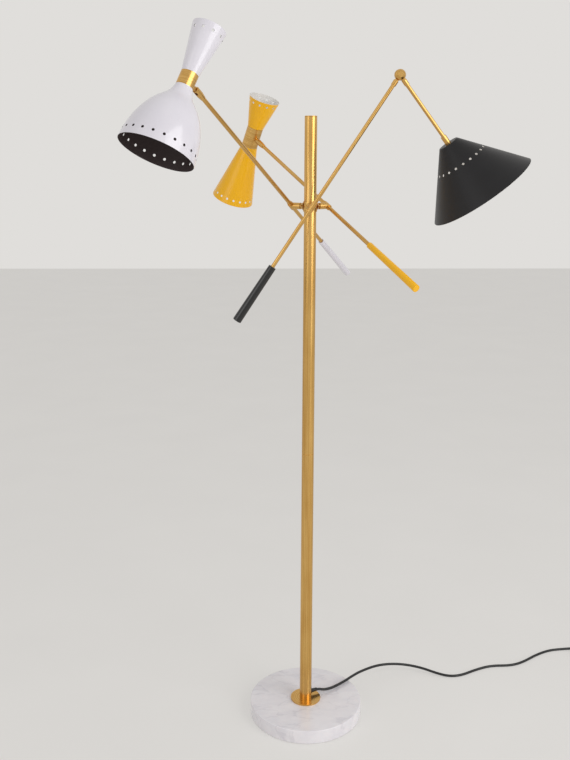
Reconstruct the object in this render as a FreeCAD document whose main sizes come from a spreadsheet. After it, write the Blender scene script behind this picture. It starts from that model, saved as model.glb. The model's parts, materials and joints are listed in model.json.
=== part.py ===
import FreeCAD, Part
import math
import operator
import os

import Sketcher
from FreeCAD import Placement, Rotation, Vector

# A free-standing floor lamp: a round marble foot, a two-piece brass pole, and a hub that carries
# three balanced arms. The black arm has an elbow and one cone shade. The white and yellow arms each
# end in a head of two shades on a brass collar. Millimetres, +Z up, origin on the floor under the
# pole. The black arm swings in the XZ plane.

# ---------------------------------------------------------------- driving dimensions
SIZES = [
    # foot
    ("foot_d", 300, "marble disc, diameter"),
    ("felt_d", 284, "felt pad, diameter"),
    ("felt_thick", 1.5, "felt pad, thickness"),
    ("marble_thick", 35, "marble disc, thickness"),
    ("marble_edge", 2.5, "marble disc, bevel of the top edge"),
    ("marble_arris", 1.5, "marble disc, bevel of the lower edge"),
    ("recess_d", 60, "recess under the marble, diameter"),
    ("recess_deep", 14, "recess under the marble, depth"),
    ("flange_d", 80, "brass disc on the marble, diameter"),
    ("flange_thick", 3.5, "brass disc, thickness"),
    ("tie_d", 10, "tie rod, diameter"),
    ("tie_bore", 12, "hole in the marble for the tie rod"),
    ("tie_low", 3.5, "height of the tie rod's lower end"),
    ("washer_d", 50, "washer under the marble, diameter"),
    ("washer_thick", 3, "washer under the marble, thickness"),
    ("nut_round", 18.5, "nut under the marble, diameter over its corners"),
    ("nut_high", 8, "nut under the marble, height"),
    ("plug_high", 9, "threaded plug in the pole's foot, height"),
    # pole
    ("pole_d", 32, "pole, outside diameter"),
    ("pole_wall", 1.5, "pole, wall thickness"),
    ("joint_high", 728, "height of the joint between the two lengths of pole"),
    ("pole_high", 1612, "height of the pole's top"),
    ("cap_thick", 2, "cap, visible thickness"),
    ("coupler_long", 80, "sleeve inside the pole's joint, length"),
    ("coupler_wall", 2, "sleeve inside the pole's joint, wall"),
    ("bevel", 0.6, "small bevel on turned brass edges"),
    ("seat", 0.03, "radial gap of a pressed or screwed fit"),
    ("running", 0.05, "radial gap of a turning fit"),
    ("part_gap", 0.3, "gap between pieces that move past each other"),
    # hub
    ("hub_high", 1382, "height of the hub's centre"),
    ("hub_d", 36, "hub sleeve, outside diameter"),
    ("hub_long", 26, "hub sleeve, height"),
    ("boss_wide", 24, "boss at the sleeve, diameter"),
    ("boss_slim", 15, "boss at its end, diameter"),
    ("boss_reach", 24, "pole axis to the end of a boss"),
    ("pivot_d", 8, "pivot pin, diameter"),
    ("pivot_reach", 43.7, "pole axis to the end of a pivot pin"),
    ("pivot_washer_d", 13, "washer on a pivot pin, diameter"),
    ("wire_way", 4, "passage for the wires, diameter"),
    ("screw_d", 5, "hub screw, diameter"),
    # arms
    ("arm_offset", 53, "pole axis to the axis of an arm's rod"),
    ("rod_d", 10, "rod, outside diameter"),
    ("rod_wall", 1.3, "rod, wall thickness"),
    ("barrel_d", 17, "swivel barrel, diameter"),
    ("barrel_start", 27, "pole axis to the start of a barrel"),
    ("knuckle_d", 15, "knuckle round the rod, diameter"),
    ("knuckle_half", 11, "knuckle, half its length"),
    ("bush_d", 12.5, "bush on the shade side of a knuckle, diameter"),
    ("bush_long", 6, "bush on the shade side of a knuckle, length"),
    ("grub_d", 4, "knuckle screw, diameter"),
    ("weight_grip", 34, "depth of the rod in its counterweight"),
    ("weight_edge", 1.6, "counterweight, bevel of the free end"),
    ("black_azimuth", 0, "direction of the black arm seen from above, degrees"),
    ("black_tilt", 56.8, "black arm above the horizontal, degrees"),
    ("black_reach", 395, "knuckle to elbow"),
    ("black_tail", 343, "knuckle to the free end of the counterweight"),
    ("black_weight_long", 165, "counterweight, length"),
    ("black_weight_slim", 20, "counterweight, diameter at the rod"),
    ("black_weight_wide", 23, "counterweight, diameter at the free end"),
    ("white_azimuth", 240, "direction of the white arm seen from above, degrees"),
    ("white_tilt", 30.9, "white arm above the horizontal, degrees"),
    ("white_reach", 529, "knuckle to the head's tilt pin"),
    ("white_tail", 428, "knuckle to the free end of the counterweight"),
    ("white_weight_long", 217, "counterweight, length"),
    ("white_weight_slim", 15.5, "counterweight, diameter at the rod"),
    ("white_weight_wide", 19, "counterweight, diameter at the free end"),
    ("yellow_azimuth", 120, "direction of the yellow arm seen from above, degrees"),
    ("yellow_tilt", 25.3, "yellow arm above the horizontal, degrees"),
    ("yellow_reach", 379, "knuckle to the head's tilt pin"),
    ("yellow_tail", 397, "knuckle to the free end of the counterweight"),
    ("yellow_weight_long", 198, "counterweight, length"),
    ("yellow_weight_slim", 16, "counterweight, diameter at the rod"),
    ("yellow_weight_wide", 18.5, "counterweight, diameter at the free end"),
    # tilt joint and swivel stud of a head
    ("ferrule_d", 15, "ferrule at the fork, diameter"),
    ("ferrule_slim", 12, "ferrule at the rod, diameter"),
    ("ferrule_long", 30, "ferrule, length behind the tilt pin"),
    ("ferrule_taper", 14, "ferrule, length of its taper"),
    ("rod_in_ferrule", 12, "depth of the rod in a ferrule"),
    ("ear_round", 7.5, "fork, radius of its ears"),
    ("tongue_thick", 5, "tongue in the fork, thickness"),
    ("tongue_round", 6, "tongue in the fork, radius of its end"),
    ("slot_deep", 8, "slot behind the tilt pin, depth"),
    ("pin_d", 4, "tilt pin, diameter"),
    ("neck_d", 9, "neck between fork and collar, diameter"),
    ("neck_start", 8.5, "tilt pin to the start of the neck"),
    ("stud_d", 6, "swivel stud, diameter"),
    ("stud_nut_round", 11, "nut on the stud, diameter over its corners"),
    ("stud_nut_high", 3.6, "nut on the stud, height"),
    ("boss_d", 12, "boss on a collar, diameter"),
    ("boss_proud", 2.5, "boss on a collar, height"),
    ("collar_wall", 1.5, "collar, wall thickness"),
    ("sheet", 1.2, "shade metal, thickness"),
    ("white_collar_d", 39, "white head's collar, diameter"),
    ("white_collar_long", 32, "white head's collar, length"),
    ("white_inset", 8, "white head, depth of a lampholder in the collar"),
    ("white_joint", 41, "white head, tilt pin to the collar's axis"),
    ("white_lean", 2.9, "white head, angle at the tilt pin, degrees"),
    ("white_roll", 8.4, "white head, turn about its stud, degrees"),
    ("bell_at_1", 20, "bell, distance from the collar to its first station"),
    ("bell_r_1", 26.6, "bell, radius there"),
    ("bell_at_2", 32, "bell, second station, where the flare turns"),
    ("bell_r_2", 36, "bell, radius there"),
    ("bell_at_3", 50, "bell, third station"),
    ("bell_r_3", 51.5, "bell, radius there"),
    ("bell_at_4", 76, "bell, fourth station"),
    ("bell_r_4", 66.5, "bell, radius there"),
    ("bell_at_5", 112, "bell, fifth station"),
    ("bell_r_5", 78.5, "bell, radius there"),
    ("white_big_rim", 168, "bell, diameter of its rim"),
    ("white_big_long", 156, "bell, length"),
    ("white_big_hole_at", 138, "bell, distance from the collar to the ring of holes"),
    ("white_big_holes", 22, "bell, number of holes"),
    ("white_small_rim", 77, "small white shade, diameter of its rim"),
    ("white_small_long", 112, "small white shade, length"),
    ("white_small_hole_at", 96, "small white shade, distance to its holes"),
    ("white_small_holes", 10, "small white shade, number of holes"),
    ("yellow_collar_d", 46, "yellow head's collar, diameter"),
    ("yellow_collar_long", 60, "yellow head's collar, length"),
    ("yellow_inset", 20, "yellow head, depth of a lampholder in the collar"),
    ("yellow_joint", 39, "yellow head, tilt pin to the collar's axis"),
    ("yellow_lean", 0.8, "yellow head, angle at the tilt pin, degrees"),
    ("yellow_roll", -5.3, "yellow head, turn about its stud, degrees"),
    ("yellow_big_rim", 122, "big yellow cone, diameter of its rim"),
    ("yellow_big_long", 172, "big yellow cone, length"),
    ("yellow_big_hole_at", 157, "big yellow cone, distance to its holes"),
    ("yellow_big_holes", 18, "big yellow cone, number of holes"),
    ("yellow_small_rim", 89, "small yellow cone, diameter of its rim"),
    ("yellow_small_long", 88, "small yellow cone, length"),
    ("yellow_small_hole_at", 76, "small yellow cone, distance to its holes"),
    ("yellow_small_holes", 12, "small yellow cone, number of holes"),
    ("shade_hole", 6, "hole in a shade, diameter"),
    # elbow and black shade
    ("ball_d", 29, "elbow ball, diameter"),
    ("elbow_thick", 7, "elbow tongue, thickness"),
    ("elbow_pin_d", 6, "elbow pin, diameter"),
    ("elbow_neck", 9, "elbow necks, width"),
    ("elbow_ferrule_d", 13, "elbow ferrules, diameter"),
    ("elbow_ferrule_long", 14, "elbow ferrules, length"),
    ("elbow_ferrule_at", 17, "elbow pin to the start of a ferrule"),
    ("forearm_down", 36.6, "forearm, angle from straight down, degrees"),
    ("forearm_long", 209, "elbow pin to the top of the black shade"),
    ("shade_ferrule_d", 15, "ferrule on the black shade, diameter"),
    ("shade_ferrule_long", 22, "ferrule on the black shade, length"),
    ("nipple_d", 9, "threaded nipple through the black shade, diameter"),
    ("black_top_d", 52, "black shade, diameter of its flat top"),
    ("black_rim", 286, "black shade, diameter of its rim"),
    ("black_long", 150, "black shade, height"),
    ("black_hole_at", 54, "black shade, top to the ring of holes"),
    ("black_holes", 20, "black shade, number of holes"),
    # lampholders and bulbs
    ("holder_d", 26, "lampholder, diameter"),
    ("holder_bore", 22, "lampholder, inside diameter"),
    ("holder_long", 40, "lampholder, length"),
    ("holder_foot", 2, "lampholder, thickness of its foot plate"),
    ("holder_back", 12, "lampholder, closed length at the back"),
    ("ring_d", 34, "shade ring on a lampholder, diameter"),
    ("ring_thick", 3, "shade ring on a lampholder, thickness"),
    ("shade_bore", 27, "hole in a shade's neck, diameter"),
    ("bulb_d", 40, "bulb, diameter"),
    ("bulb_base_d", 18, "bulb, diameter of its base"),
    ("bulb_base_in", 22, "bulb, length of its base in the holder"),
    # lead and plug
    ("lead_d", 7, "flat twin lead, width"),
    ("lead_exit_high", 51, "height of the lead's hole in the pole"),
    ("lead_azimuth", 30, "direction of the lead's hole, degrees"),
    ("lead_bush_d", 12, "bush of the lead, diameter"),
    ("lead_bush_slim", 9.5, "bush of the lead, diameter at its mouth"),
    ("lead_hole", 10, "hole in the pole for the lead's bush"),
    ("lead_bush_mouth", 22, "pole axis to the mouth of the lead's bush"),
    ("inner_lead_d", 6, "lead inside the pole, diameter"),
    ("coil_x", 890, "coil, centre"),
    ("coil_y", 229.5, "coil, centre"),
    ("coil_r", 47.5, "coil, radius of the outer turn's middle line"),
    ("coil_pitch", 7.5, "coil, distance from turn to turn and layer to layer"),
    ("coil_lift", 4.7, "coil, height of the lower layer's middle line"),
    ("coil_layer_turns", 1.25, "coil, turns in each layer"),
    ("tie_band", 8, "strap round the coil, width"),
    ("tie_thick", 1, "strap round the coil, thickness"),
    ("plug_long", 36, "plug body, length"),
    ("plug_wide", 27, "plug body, width"),
    ("plug_tall", 24.4, "plug body, height"),
    ("plug_edge", 5, "plug body, bevel of its edges"),
    ("relief_long", 25, "sleeve of the plug, length"),
    ("relief_wide", 12, "sleeve of the plug, diameter at the plug"),
    ("plug_pin_d", 4, "plug pins, diameter"),
    ("plug_pin_long", 19, "plug pins, length"),
    ("plug_pin_apart", 19, "plug pins, distance apart"),
]

# Middle line of the lead from its bush to the coil: over the marble, in a low arch beside it, along
# the floor.
LEAD_ROUTE = [
    (34, 18.5, 50.2),
    (52, 21.5, 45.5),
    (71, 31, 43),
    (92, 46, 42.6),
    (117, 67, 42.8),
    (140, 91, 42.3),
    (166, 116, 40.5),
    (216, 153, 35.5),
    (264, 171, 29.5),
    (310, 176, 22.5),
    (354, 170, 15),
    (396, 153, 7),
    (430, 142, 3.5),
    (467, 146, 3.5),
    (515, 173, 3.5),
    (566, 193, 3.5),
    (625, 191, 3.5),
    (667, 208, 3.5),
    (720, 247, 3.5),
    (766, 270, 3.5),
    (806, 276, 3.5),
    (846, 277, 4.7),
]

os.makedirs("parts", exist_ok=True)
doc = FreeCAD.newDocument("FloorLamp")
sheet = doc.addObject("Spreadsheet::Sheet", "sizes")
for row, (alias, number, note) in enumerate(SIZES, start=1):
    sheet.set(f"A{row}", note)
    sheet.set(f"B{row}", str(number))
    sheet.setAlias(f"B{row}", alias)
doc.recompute()


class Size:
    """A sheet value, or a sum or product of some, as a number and as an expression."""

    def __init__(self, value, text):
        self.value = value
        self.text = text

    def join(self, other, sign, work):
        other = as_size(other)
        return Size(work(self.value, other.value), f"({self.text} {sign} {other.text})")

    def __add__(self, other):
        return self.join(other, "+", operator.add)

    def __sub__(self, other):
        return self.join(other, "-", operator.sub)

    def __mul__(self, other):
        return self.join(other, "*", operator.mul)

    def __truediv__(self, other):
        return self.join(other, "/", operator.truediv)

    def __neg__(self):
        return ZERO - self


def as_size(number):
    return number if isinstance(number, Size) else Size(float(number), f"({float(number)})")


class Sheet:
    """Reads the sheet's cells by their names, as sizes."""

    def __getattr__(self, alias):
        return Size(float(sheet.get(alias)), f"sizes.{alias}")

    def __getitem__(self, alias):
        return getattr(self, alias)


ZERO = as_size(0)
S = Sheet()
X_AXIS = Vector(1, 0, 0)
Y_AXIS = Vector(0, 1, 0)
UP = Vector(0, 0, 1)
kept = []


# ---------------------------------------------------------------- building blocks
def keep(item, label, placement=None):
    """Gives a finished piece its name and its place in the lamp."""
    item.Label = label
    if placement is not None:
        item.Placement = placement
    kept.append(item)
    return item


def bound_base(item, base):
    """Binds a primitive's position to the sheet, where it isn't at zero."""
    for letter, coordinate in zip("xyz", base):
        if as_size(coordinate).value:
            item.setExpression(f"Placement.Base.{letter}", as_size(coordinate).text)


def cylinder(name, diameter, height, base=(0, 0, 0), axis=UP):
    item = doc.addObject("Part::Cylinder", name)
    item.setExpression("Radius", (as_size(diameter) / 2).text)
    item.setExpression("Height", as_size(height).text)
    item.Placement = Placement(Vector(), Rotation(UP, axis))
    bound_base(item, base)
    return item


def cone(name, start_diameter, end_diameter, height, base=(0, 0, 0), axis=UP):
    item = doc.addObject("Part::Cone", name)
    item.setExpression("Radius1", (as_size(start_diameter) / 2).text)
    item.setExpression("Radius2", (as_size(end_diameter) / 2).text)
    item.setExpression("Height", as_size(height).text)
    item.Placement = Placement(Vector(), Rotation(UP, axis))
    bound_base(item, base)
    return item


def box(name, sides, centre):
    """A block of the given sides round a centre."""
    item = doc.addObject("Part::Box", name)
    for side, length in zip(("Length", "Width", "Height"), sides):
        item.setExpression(side, as_size(length).text)
    bound_base(item, [as_size(c) - as_size(s) / 2 for c, s in zip(centre, sides)])
    return item


def prism(name, corner_diameter, height, base=(0, 0, 0), axis=UP, sides=6):
    """A block with a regular outline, a hexagon unless told otherwise."""
    item = doc.addObject("Part::Prism", name)
    item.Polygon = sides
    item.setExpression("Circumradius", (as_size(corner_diameter) / 2).text)
    item.setExpression("Height", as_size(height).text)
    item.Placement = Placement(Vector(), Rotation(UP, axis))
    bound_base(item, base)
    return item


def faceted(name, sides, sections):
    """A solid with flat faces through regular outlines, each given by its height and corner
    diameter."""
    turns = [2 * math.pi * i / sides for i in range(sides)]
    rings = []
    for height, diameter in sections:
        radius = as_size(diameter).value / 2
        level = as_size(height).value
        rings.append([Vector(radius * math.cos(a), radius * math.sin(a), level) for a in turns])
    faces = [Part.Face(Part.makePolygon(ring + ring[:1])) for ring in (rings[0], rings[-1])]
    for low, high in zip(rings, rings[1:]):
        for i in range(sides):
            j = (i + 1) % sides
            faces.append(Part.Face(Part.makePolygon([low[i], low[j], high[j], high[i], low[i]])))
    item = doc.addObject("Part::Feature", name)
    item.Shape = Part.Solid(Part.Shell(faces))
    return item


def fuse(name, *items):
    item = doc.addObject("Part::MultiFuse", name)
    item.Shapes = list(items)
    return item


def cut(name, base, *tools):
    item = doc.addObject("Part::Cut", name)
    item.Base = base
    item.Tool = tools[0] if len(tools) == 1 else fuse(f"{name}_cutters", *tools)
    return item


def common(name, *items):
    item = doc.addObject("Part::MultiCommon", name)
    item.Shapes = list(items)
    return item


def group(name, *items):
    item = doc.addObject("Part::Compound", name)
    item.Links = list(items)
    return item


def plane_sketch(body, name):
    """A sketch on the body's XZ plane, where X is the radius and Y the height."""
    sketch = body.newObject("Sketcher::SketchObject", name)
    plane = next(f for f in body.Origin.OriginFeatures if f.Role == "XZ_Plane")
    sketch.AttachmentSupport = (plane, [""])
    sketch.MapMode = "FlatFace"
    return sketch


def pin_point(sketch, geometry, place, corner):
    """Binds one point of a sketch to its radius and height."""
    for coordinate, axis_line, kind in ((corner[0], -2, "DistanceX"), (corner[1], -1, "DistanceY")):
        size = as_size(coordinate)
        if abs(size.value) < 1e-9:
            sketch.addConstraint(Sketcher.Constraint("PointOnObject", geometry, place, axis_line))
        else:
            rule = Sketcher.Constraint(kind, -1, 1, geometry, place, size.value)
            index = sketch.addConstraint(rule)
            sketch.setExpression(f"Constraints[{index}]", size.text)


def arc_between(here, there, radius, side):
    """The arc from here to there whose centre lies left (side 1) or right (side -1) of its chord."""
    chord = there - here
    left = Vector(-chord.y, chord.x, 0).normalize()
    rise = math.sqrt(radius**2 - (chord.Length / 2) ** 2)
    centre = (here + there) / 2 + left * side * rise
    first, last = (here, there) if side > 0 else (there, here)
    start = math.atan2(first.y - centre.y, first.x - centre.x)
    end = math.atan2(last.y - centre.y, last.x - centre.x)
    return Part.ArcOfCircle(Part.Circle(centre, UP, radius), start, end)


def draw_outline(sketch, corners):
    """Draws a closed outline. A corner is (radius, height), and one that starts an arc adds its
    radius and the side of its centre."""
    points = [Vector(as_size(c[0]).value, as_size(c[1]).value, 0) for c in corners]
    ends = []
    for index, corner in enumerate(corners):
        here = points[index]
        there = points[(index + 1) % len(points)]
        if len(corner) == 2:
            ends.append((sketch.addGeometry(Part.LineSegment(here, there), False), 1, 2))
            continue
        radius = as_size(corner[2])
        arc = sketch.addGeometry(arc_between(here, there, radius.value, corner[3]), False)
        ends.append((arc, 1, 2) if corner[3] > 0 else (arc, 2, 1))
        rule = sketch.addConstraint(Sketcher.Constraint("Radius", arc, radius.value))
        sketch.setExpression(f"Constraints[{rule}]", radius.text)
    for index, (geometry, start, _) in enumerate(ends):
        before, _, before_end = ends[index - 1]
        sketch.addConstraint(Sketcher.Constraint("Coincident", before, before_end, geometry, start))
        pin_point(sketch, geometry, start, corners[index])


def turned(name, corners):
    """A body turned about its own Z axis from a closed outline."""
    body = doc.addObject("PartDesign::Body", name)
    sketch = plane_sketch(body, f"{name}_outline")
    draw_outline(sketch, corners)
    turn = body.newObject("PartDesign::Revolution", f"{name}_turned")
    turn.Profile = sketch
    turn.ReferenceAxis = (sketch, ["V_Axis"])
    turn.Angle = 360
    return body


def hole_sketch(body, name, height, diameter):
    """A hexagon on the body's axis at a height, in a circle of the given diameter."""
    sketch = plane_sketch(body, name)
    middle = Vector(0, as_size(height).value, 0)
    radius = as_size(diameter).value / 2
    ring = sketch.addGeometry(Part.Circle(middle, UP, radius), True)
    turns = [math.radians(60 * i) for i in range(7)]
    corners = [middle + Vector(math.cos(a), math.sin(a), 0) * radius for a in turns]
    sides = [
        sketch.addGeometry(Part.LineSegment(here, there), False)
        for here, there in zip(corners, corners[1:])
    ]
    for index, side in enumerate(sides):
        sketch.addConstraint(Sketcher.Constraint("Coincident", sides[index - 1], 2, side, 1))
        sketch.addConstraint(Sketcher.Constraint("PointOnObject", side, 1, ring))
        if index:
            sketch.addConstraint(Sketcher.Constraint("Equal", sides[0], side))
    sketch.addConstraint(Sketcher.Constraint("Horizontal", sides[1]))
    pin_point(sketch, ring, 3, (ZERO, height))
    rule = sketch.addConstraint(Sketcher.Constraint("Diameter", ring, radius * 2))
    sketch.setExpression(f"Constraints[{rule}]", as_size(diameter).text)
    return sketch


def ring_of_holes(body, name, height, diameter, reach, count):
    """Drills a ring of holes through the wall of a turned shade."""
    doc.recompute()
    before = body.Shape.Volume
    sketch = hole_sketch(body, f"{name}_circle", height, diameter)
    pocket = body.newObject("PartDesign::Pocket", f"{name}_hole")
    pocket.Profile = sketch
    pocket.setExpression("Length", reach.text)
    doc.recompute()
    one = before - body.Shape.Volume
    pattern = body.newObject("PartDesign::PolarPattern", f"{name}_ring")
    pattern.Originals = [pocket]
    pattern.Axis = (sketch, ["V_Axis"])
    pattern.Angle = 360
    pattern.setExpression("Occurrences", count.text)
    body.Tip = pattern
    doc.recompute()
    removed = before - body.Shape.Volume
    if one <= 0 or abs(removed / one - count.value) > 0.01 * count.value:
        raise RuntimeError(f"{name}: the holes took {removed:.2f} mm3, one takes {one:.3f} mm3")


# ---------------------------------------------------------------- frames
def radial(azimuth_deg, distance, height):
    """A place at a height and a distance from the pole, with its Z axis pointing outwards."""
    angle = math.radians(azimuth_deg)
    outward = Vector(math.cos(angle), math.sin(angle), 0)
    return Placement(outward * distance + UP * height, Rotation(UP, outward))


def arm_place(colour):
    """Knuckle of an arm: X points out from the pole, Z along the rod to the shade, Y below it."""
    angle = math.radians(S[f"{colour}_azimuth"].value)
    tilt = math.radians(S[f"{colour}_tilt"].value)
    outward = Vector(math.sin(angle), -math.cos(angle), 0)
    level = Vector(math.cos(angle), math.sin(angle), 0)
    along = level * math.cos(tilt) + UP * math.sin(tilt)
    below = level * math.sin(tilt) - UP * math.cos(tilt)
    knuckle = outward * S.arm_offset.value + UP * S.hub_high.value
    return Placement(knuckle, Rotation(outward, below, along, "ZXY"))


def along_arm(colour, distance):
    return arm_place(colour) * Placement(Vector(0, 0, distance), Rotation())


def head_joint(colour):
    """Tilt pin of a head: X along the pin, Z along the stud towards the collar."""
    lean = Rotation(X_AXIS, -S[f"{colour}_lean"].value)
    return along_arm(colour, S[f"{colour}_reach"].value) * Placement(Vector(), lean)


def head_place(colour):
    """Middle of a collar: X points back to the tilt pin, Z to the small shade."""
    roll = Rotation(UP, -S[f"{colour}_roll"].value)
    to_collar = Placement(Vector(0, 0, S[f"{colour}_joint"].value), Rotation())
    turn = Rotation(-UP, X_AXIS, -Y_AXIS, "ZXY")
    return head_joint(colour) * Placement(Vector(), roll) * to_collar * Placement(Vector(), turn)


def elbow_place():
    """Elbow pin: X along the pin, Z along the forearm to the black shade."""
    down = math.radians(S.forearm_down.value)
    along = Vector(math.sin(down), 0, -math.cos(down))
    elbow = along_arm("black", S.black_reach.value).Base
    outward = arm_place("black").Rotation.multVec(X_AXIS)
    return Placement(elbow, Rotation(outward, along.cross(outward), along, "ZXY"))


def shade_place():
    """Top of the black shade: Z points into it."""
    return elbow_place() * Placement(Vector(0, 0, S.forearm_long.value), Rotation())


# ---------------------------------------------------------------- foot
def make_foot():
    """Felt, marble, the rod that ties the pole to the marble, and the brass disc."""
    marble_top = S.felt_thick + S.marble_thick
    keep(cylinder("floor_pad", S.felt_d, S.felt_thick), "floor_pad")

    rim = S.foot_d / 2
    marble = turned(
        "marble_base",
        [
            (S.recess_d / 2, 0),
            (rim - S.marble_arris, 0),
            (rim, S.marble_arris),
            (rim, S.marble_thick - S.marble_edge),
            (rim - S.marble_edge, S.marble_thick),
            (S.tie_bore / 2, S.marble_thick),
            (S.tie_bore / 2, S.recess_deep),
            (S.recess_d / 2, S.recess_deep),
        ],
    )
    keep(marble, "marble_base", Placement(UP * S.felt_thick.value, Rotation()))

    washer_low = S.felt_thick + S.recess_deep - S.washer_thick
    tie = fuse(
        "tie_rod",
        prism("tie_shank", S.tie_d, marble_top + S.plug_high - S.tie_low, (0, 0, S.tie_low), sides=12),
        prism("tie_washer", S.washer_d, S.washer_thick, (0, 0, washer_low), sides=16),
        prism("tie_nut", S.nut_round, S.nut_high, (0, 0, washer_low - S.nut_high)),
        prism(
            "tie_plug",
            S.pole_d - S.pole_wall * 2 - S.seat * 2,
            S.plug_high,
            (0, 0, marble_top),
            sides=16,
        ),
    )
    keep(tie, "tie_rod")

    flange = cut(
        "base_flange",
        cylinder("flange_disc", S.flange_d, S.flange_thick),
        cylinder("flange_hole", S.pole_d + S.seat * 2, S.flange_thick),
    )
    keep(flange, "base_flange", Placement(UP * marble_top.value, Rotation()))


# ---------------------------------------------------------------- pole
def pole_length(name, length):
    """One length of pole, with a small bevel at each outer edge."""
    outer = S.pole_d / 2
    inner = outer - S.pole_wall
    return turned(
        name,
        [
            (inner, 0),
            (outer - S.bevel, 0),
            (outer, S.bevel),
            (outer, length - S.bevel),
            (outer - S.bevel, length),
            (inner, length),
        ],
    )


def make_pole():
    """Two lengths of pole, the sleeve that joins them and the cap on the upper one."""
    marble_top = S.felt_thick + S.marble_thick
    lead_way = cylinder("lead_way", S.lead_hole, S.pole_d)
    lead_way.Placement = radial(
        S.lead_azimuth.value, 0, S.lead_exit_high.value - marble_top.value
    )
    lower = cut("lower_pole", pole_length("lower_tube", S.joint_high - marble_top), lead_way)
    keep(lower, "lower_pole", Placement(UP * marble_top.value, Rotation()))

    tube_long = S.pole_high - S.cap_thick - S.joint_high
    upper_tube = pole_length("upper_tube", tube_long)
    cap = fuse(
        "pole_cap",
        cylinder("cap_disc", S.pole_d, S.cap_thick - S.bevel, (0, 0, tube_long)),
        cone(
            "cap_edge",
            S.pole_d,
            S.pole_d - S.bevel * 2,
            S.bevel,
            (0, 0, tube_long + S.cap_thick - S.bevel),
        ),
    )
    wire_ways = []
    for colour in ("black", "white", "yellow"):
        way = prism(f"{colour}_pole_way", S.wire_way, S.pole_d)
        way.Placement = radial(
            S[f"{colour}_azimuth"].value - 90, 0, S.hub_high.value - S.joint_high.value
        )
        wire_ways.append(way)
    upper = cut("upper_pole", fuse("capped_tube", upper_tube, cap), *wire_ways)
    keep(upper, "upper_pole", Placement(UP * S.joint_high.value, Rotation()))

    sleeve_d = S.pole_d - S.pole_wall * 2 - S.seat * 2
    coupler = cut(
        "pole_coupler",
        prism("coupler_outside", sleeve_d, S.coupler_long, sides=16),
        prism("coupler_inside", sleeve_d - S.coupler_wall * 2, S.coupler_long, sides=16),
    )
    coupler_low = S.joint_high - S.coupler_long / 2
    keep(coupler, "pole_coupler", Placement(UP * coupler_low.value, Rotation()))


# ---------------------------------------------------------------- hub
def make_hub():
    """Sleeve with three bosses, pivot pins and washers, and the sockets of its screws."""
    half = S.hub_long / 2
    solids = [cylinder("hub_sleeve", S.hub_d, S.hub_long, (0, 0, -half))]
    ways = [cylinder("hub_bore", S.pole_d + S.seat * 2, S.hub_long, (0, 0, -half))]
    inside = S.pole_d / 2
    for colour in ("black", "white", "yellow"):
        azimuth = S[f"{colour}_azimuth"].value - 90
        boss = cone(f"hub_boss_{colour}", S.boss_wide, S.boss_slim, S.boss_reach - inside)
        boss.Placement = radial(azimuth, inside.value, 0)
        pin = cylinder(f"hub_pin_{colour}", S.pivot_d, S.pivot_reach - inside)
        pin.Placement = radial(azimuth, inside.value, 0)
        washer_long = S.barrel_start - S.boss_reach - S.part_gap
        washer = cylinder(f"hub_washer_{colour}", S.pivot_washer_d, washer_long)
        washer.Placement = radial(azimuth, S.boss_reach.value, 0)
        solids += [boss, pin, washer]
        way = prism(f"hub_way_{colour}", S.wire_way, S.pivot_reach)
        way.Placement = radial(azimuth, 0, 0)
        socket = prism(f"hub_screw_{colour}", S.screw_d, S.bevel * 2)
        socket.Placement = radial(azimuth + 180, (S.hub_d / 2 - S.bevel * 2).value, 0)
        ways += [way, socket]
    at_hub = Placement(UP * S.hub_high.value, Rotation())
    keep(cut("hub_collar", fuse("hub_solid", *solids), *ways), "hub_collar", at_hub)


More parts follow.
